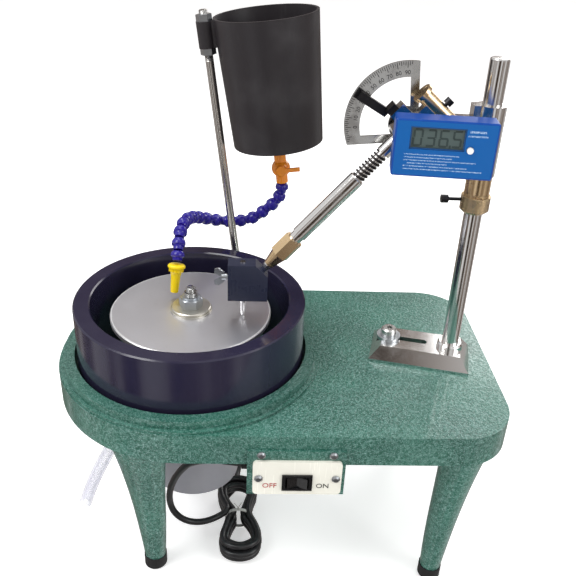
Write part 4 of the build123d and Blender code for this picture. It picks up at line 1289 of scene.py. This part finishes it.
@dataclass
class Quill(Maker):
    """The tilting quill with its handpiece and the angle adapter on its tip."""

    finishes: Dict[str, str] = field(default_factory=lambda: {
        "quill_block": "head_chrome", "pointer": "black_oxide", "cross_cylinder": "weight_brass",
        "cross_screw": "black_oxide", "quill_shaft": "quill_chrome", "quill_spring": "spring_dark",
        "quill_tube": "quill_chrome", "collet_nut": "nose_brass", "collet": "quill_chrome",
        "adapter_block": "adapter_black", "adapter_dop": "dop_steel", "adapter_screw": "nut_zinc",
    })

    spring_from: float = 28.6
    spring_to: float = 58.6
    travel: float = 8.0

    def build(self) -> None:
        """Dresses the quill's CAD nodes and gives the spring a mesh of its own."""
        self.dress()
        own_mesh(self.frame["nodes"]["quill_spring"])


# ---------------------------------------------------------------- water


@dataclass
class Water(Maker):
    """The tank on its pole, the tap, and the row of ball-and-cup hose segments with its nozzle."""

    points: Tuple[Point, ...] = (
        (85.4, 115, 132.2), (84.9, 116, 121.3), (80, 118.5, 110), (69.5, 121.5, 100), (60.5, 125, 90),
        (48.5, 128, 83.5), (34.5, 129.3, 81), (21, 127, 82.5), (10.5, 119, 87.5), (2.5, 108, 93.5),
        (-3, 96, 99.5), (-7, 83, 104.5), (-10.5, 69.5, 107), (-13, 55.5, 106), (-14, 42.5, 100.5),
        (-14.3, 33, 92), (-14.9, 27.6, 83.5),
    )
    nozzle_end: Point = (-17.9, 20.5, 53.5)
    bead_length: float = 10.0
    bead: Tuple[Tuple[float, float], ...] = (
        (2.5, 0.03), (4.2, 0.03), (5.3, 0.10), (6.2, 0.22), (6.6, 0.36), (6.7, 0.50), (6.6, 0.56),
        (6.2, 0.585), (5.6, 0.61), (5.0, 0.70), (4.7, 0.80), (4.6, 0.965), (2.5, 0.965), (2.5, 0.03),
    )

    def build(self) -> None:
        """Dresses the tank and makes the hose."""
        for name, finish in (("tank_pole", "pole_steel"), ("pole_nuts", "nut_zinc"), ("tank", "tank_black"),
                             ("valve_body", "tap_orange"), ("valve_lever", "tap_orange")):
            self.node(name, finish)
        self._segments()
        self._nozzle()

    @staticmethod
    def _between(start: Point, end: Point) -> Tuple[Matrix, float]:
        """A place at start with local Z towards end, and the distance in millimetres."""
        a, b = bench(*start), bench(*end)
        turn = (b - a).to_track_quat("Z", "Y").to_matrix().to_4x4()
        return Matrix.Translation(a) @ turn, (b - a).length / MM

    def _segments(self) -> None:
        """One turned bead, copied between each pair of points."""
        pattern = Workshop.turned("bead_pattern", [(r, h * self.bead_length) for r, h in self.bead], 30)
        beads = []
        for start, end in zip(self.points, self.points[1:]):
            place, length = self._between(start, end)
            stretch = Matrix.Diagonal((1.0, 1.0, length / self.bead_length, 1.0))
            beads.append(Workshop.copy(pattern, "hose_bead", place @ stretch))
        bpy.data.objects.remove(pattern)
        hose = Workshop.smooth(Workshop.join("hose_beads", beads), 42)
        self.settle(hose, "hose", "hose_blue", "hose_blue", stands_for=("hose_segments",))

    def _nozzle(self) -> None:
        """The nozzle with its domed flange, finger ribs and tapered spout."""
        place, length = self._between(self.points[-1], self.nozzle_end)
        body = Workshop.turned("nozzle_body", [
            (2.2, 3.0), (5.0, 3.0), (7.2, 3.3), (8.2, 4.2), (8.5, 5.2), (8.2, 6.4), (7.2, 7.0), (6.6, 7.4),
            (6.4, 10.0), (5.6, 10.8), (5.0, 13.8), (4.7, 15.0), (4.0, length - 3.0),
            (3.7, length - 0.5), (3.4, length),
            (2.2, length), (2.2, 3.0),
        ])
        ribs = []
        for step in range(8):
            rib = Workshop.bar("nozzle_rib", (1.2, 1.0, 3.6), (6.7, 0, 8.6), 0.35)
            rib.data.transform(Matrix.Rotation(step * math.pi / 4, 4, "Z"))
            ribs.append(rib)
        nozzle = Workshop.smooth(Workshop.join("nozzle_spout", [body, *ribs]))
        self.settle(nozzle, "nozzle", "nozzle_yellow", "nozzle_yellow", place, ("nozzle",))


def main() -> None:
    """Builds the machine's looks in order."""
    logging.basicConfig(level=logging.INFO, format="%(name)s: %(message)s")
    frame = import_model()
    Workshop.clear()
    paints = Paintbox(FINISHES)
    Studio().build()
    for kind in (MainsCord, Drain, Stand, Switch, MastAndHead, Display, Quill, Water):
        LOG.info("building %s", kind.__name__)
        kind(frame, paints).build()


if __name__ == "__main__":
    main()
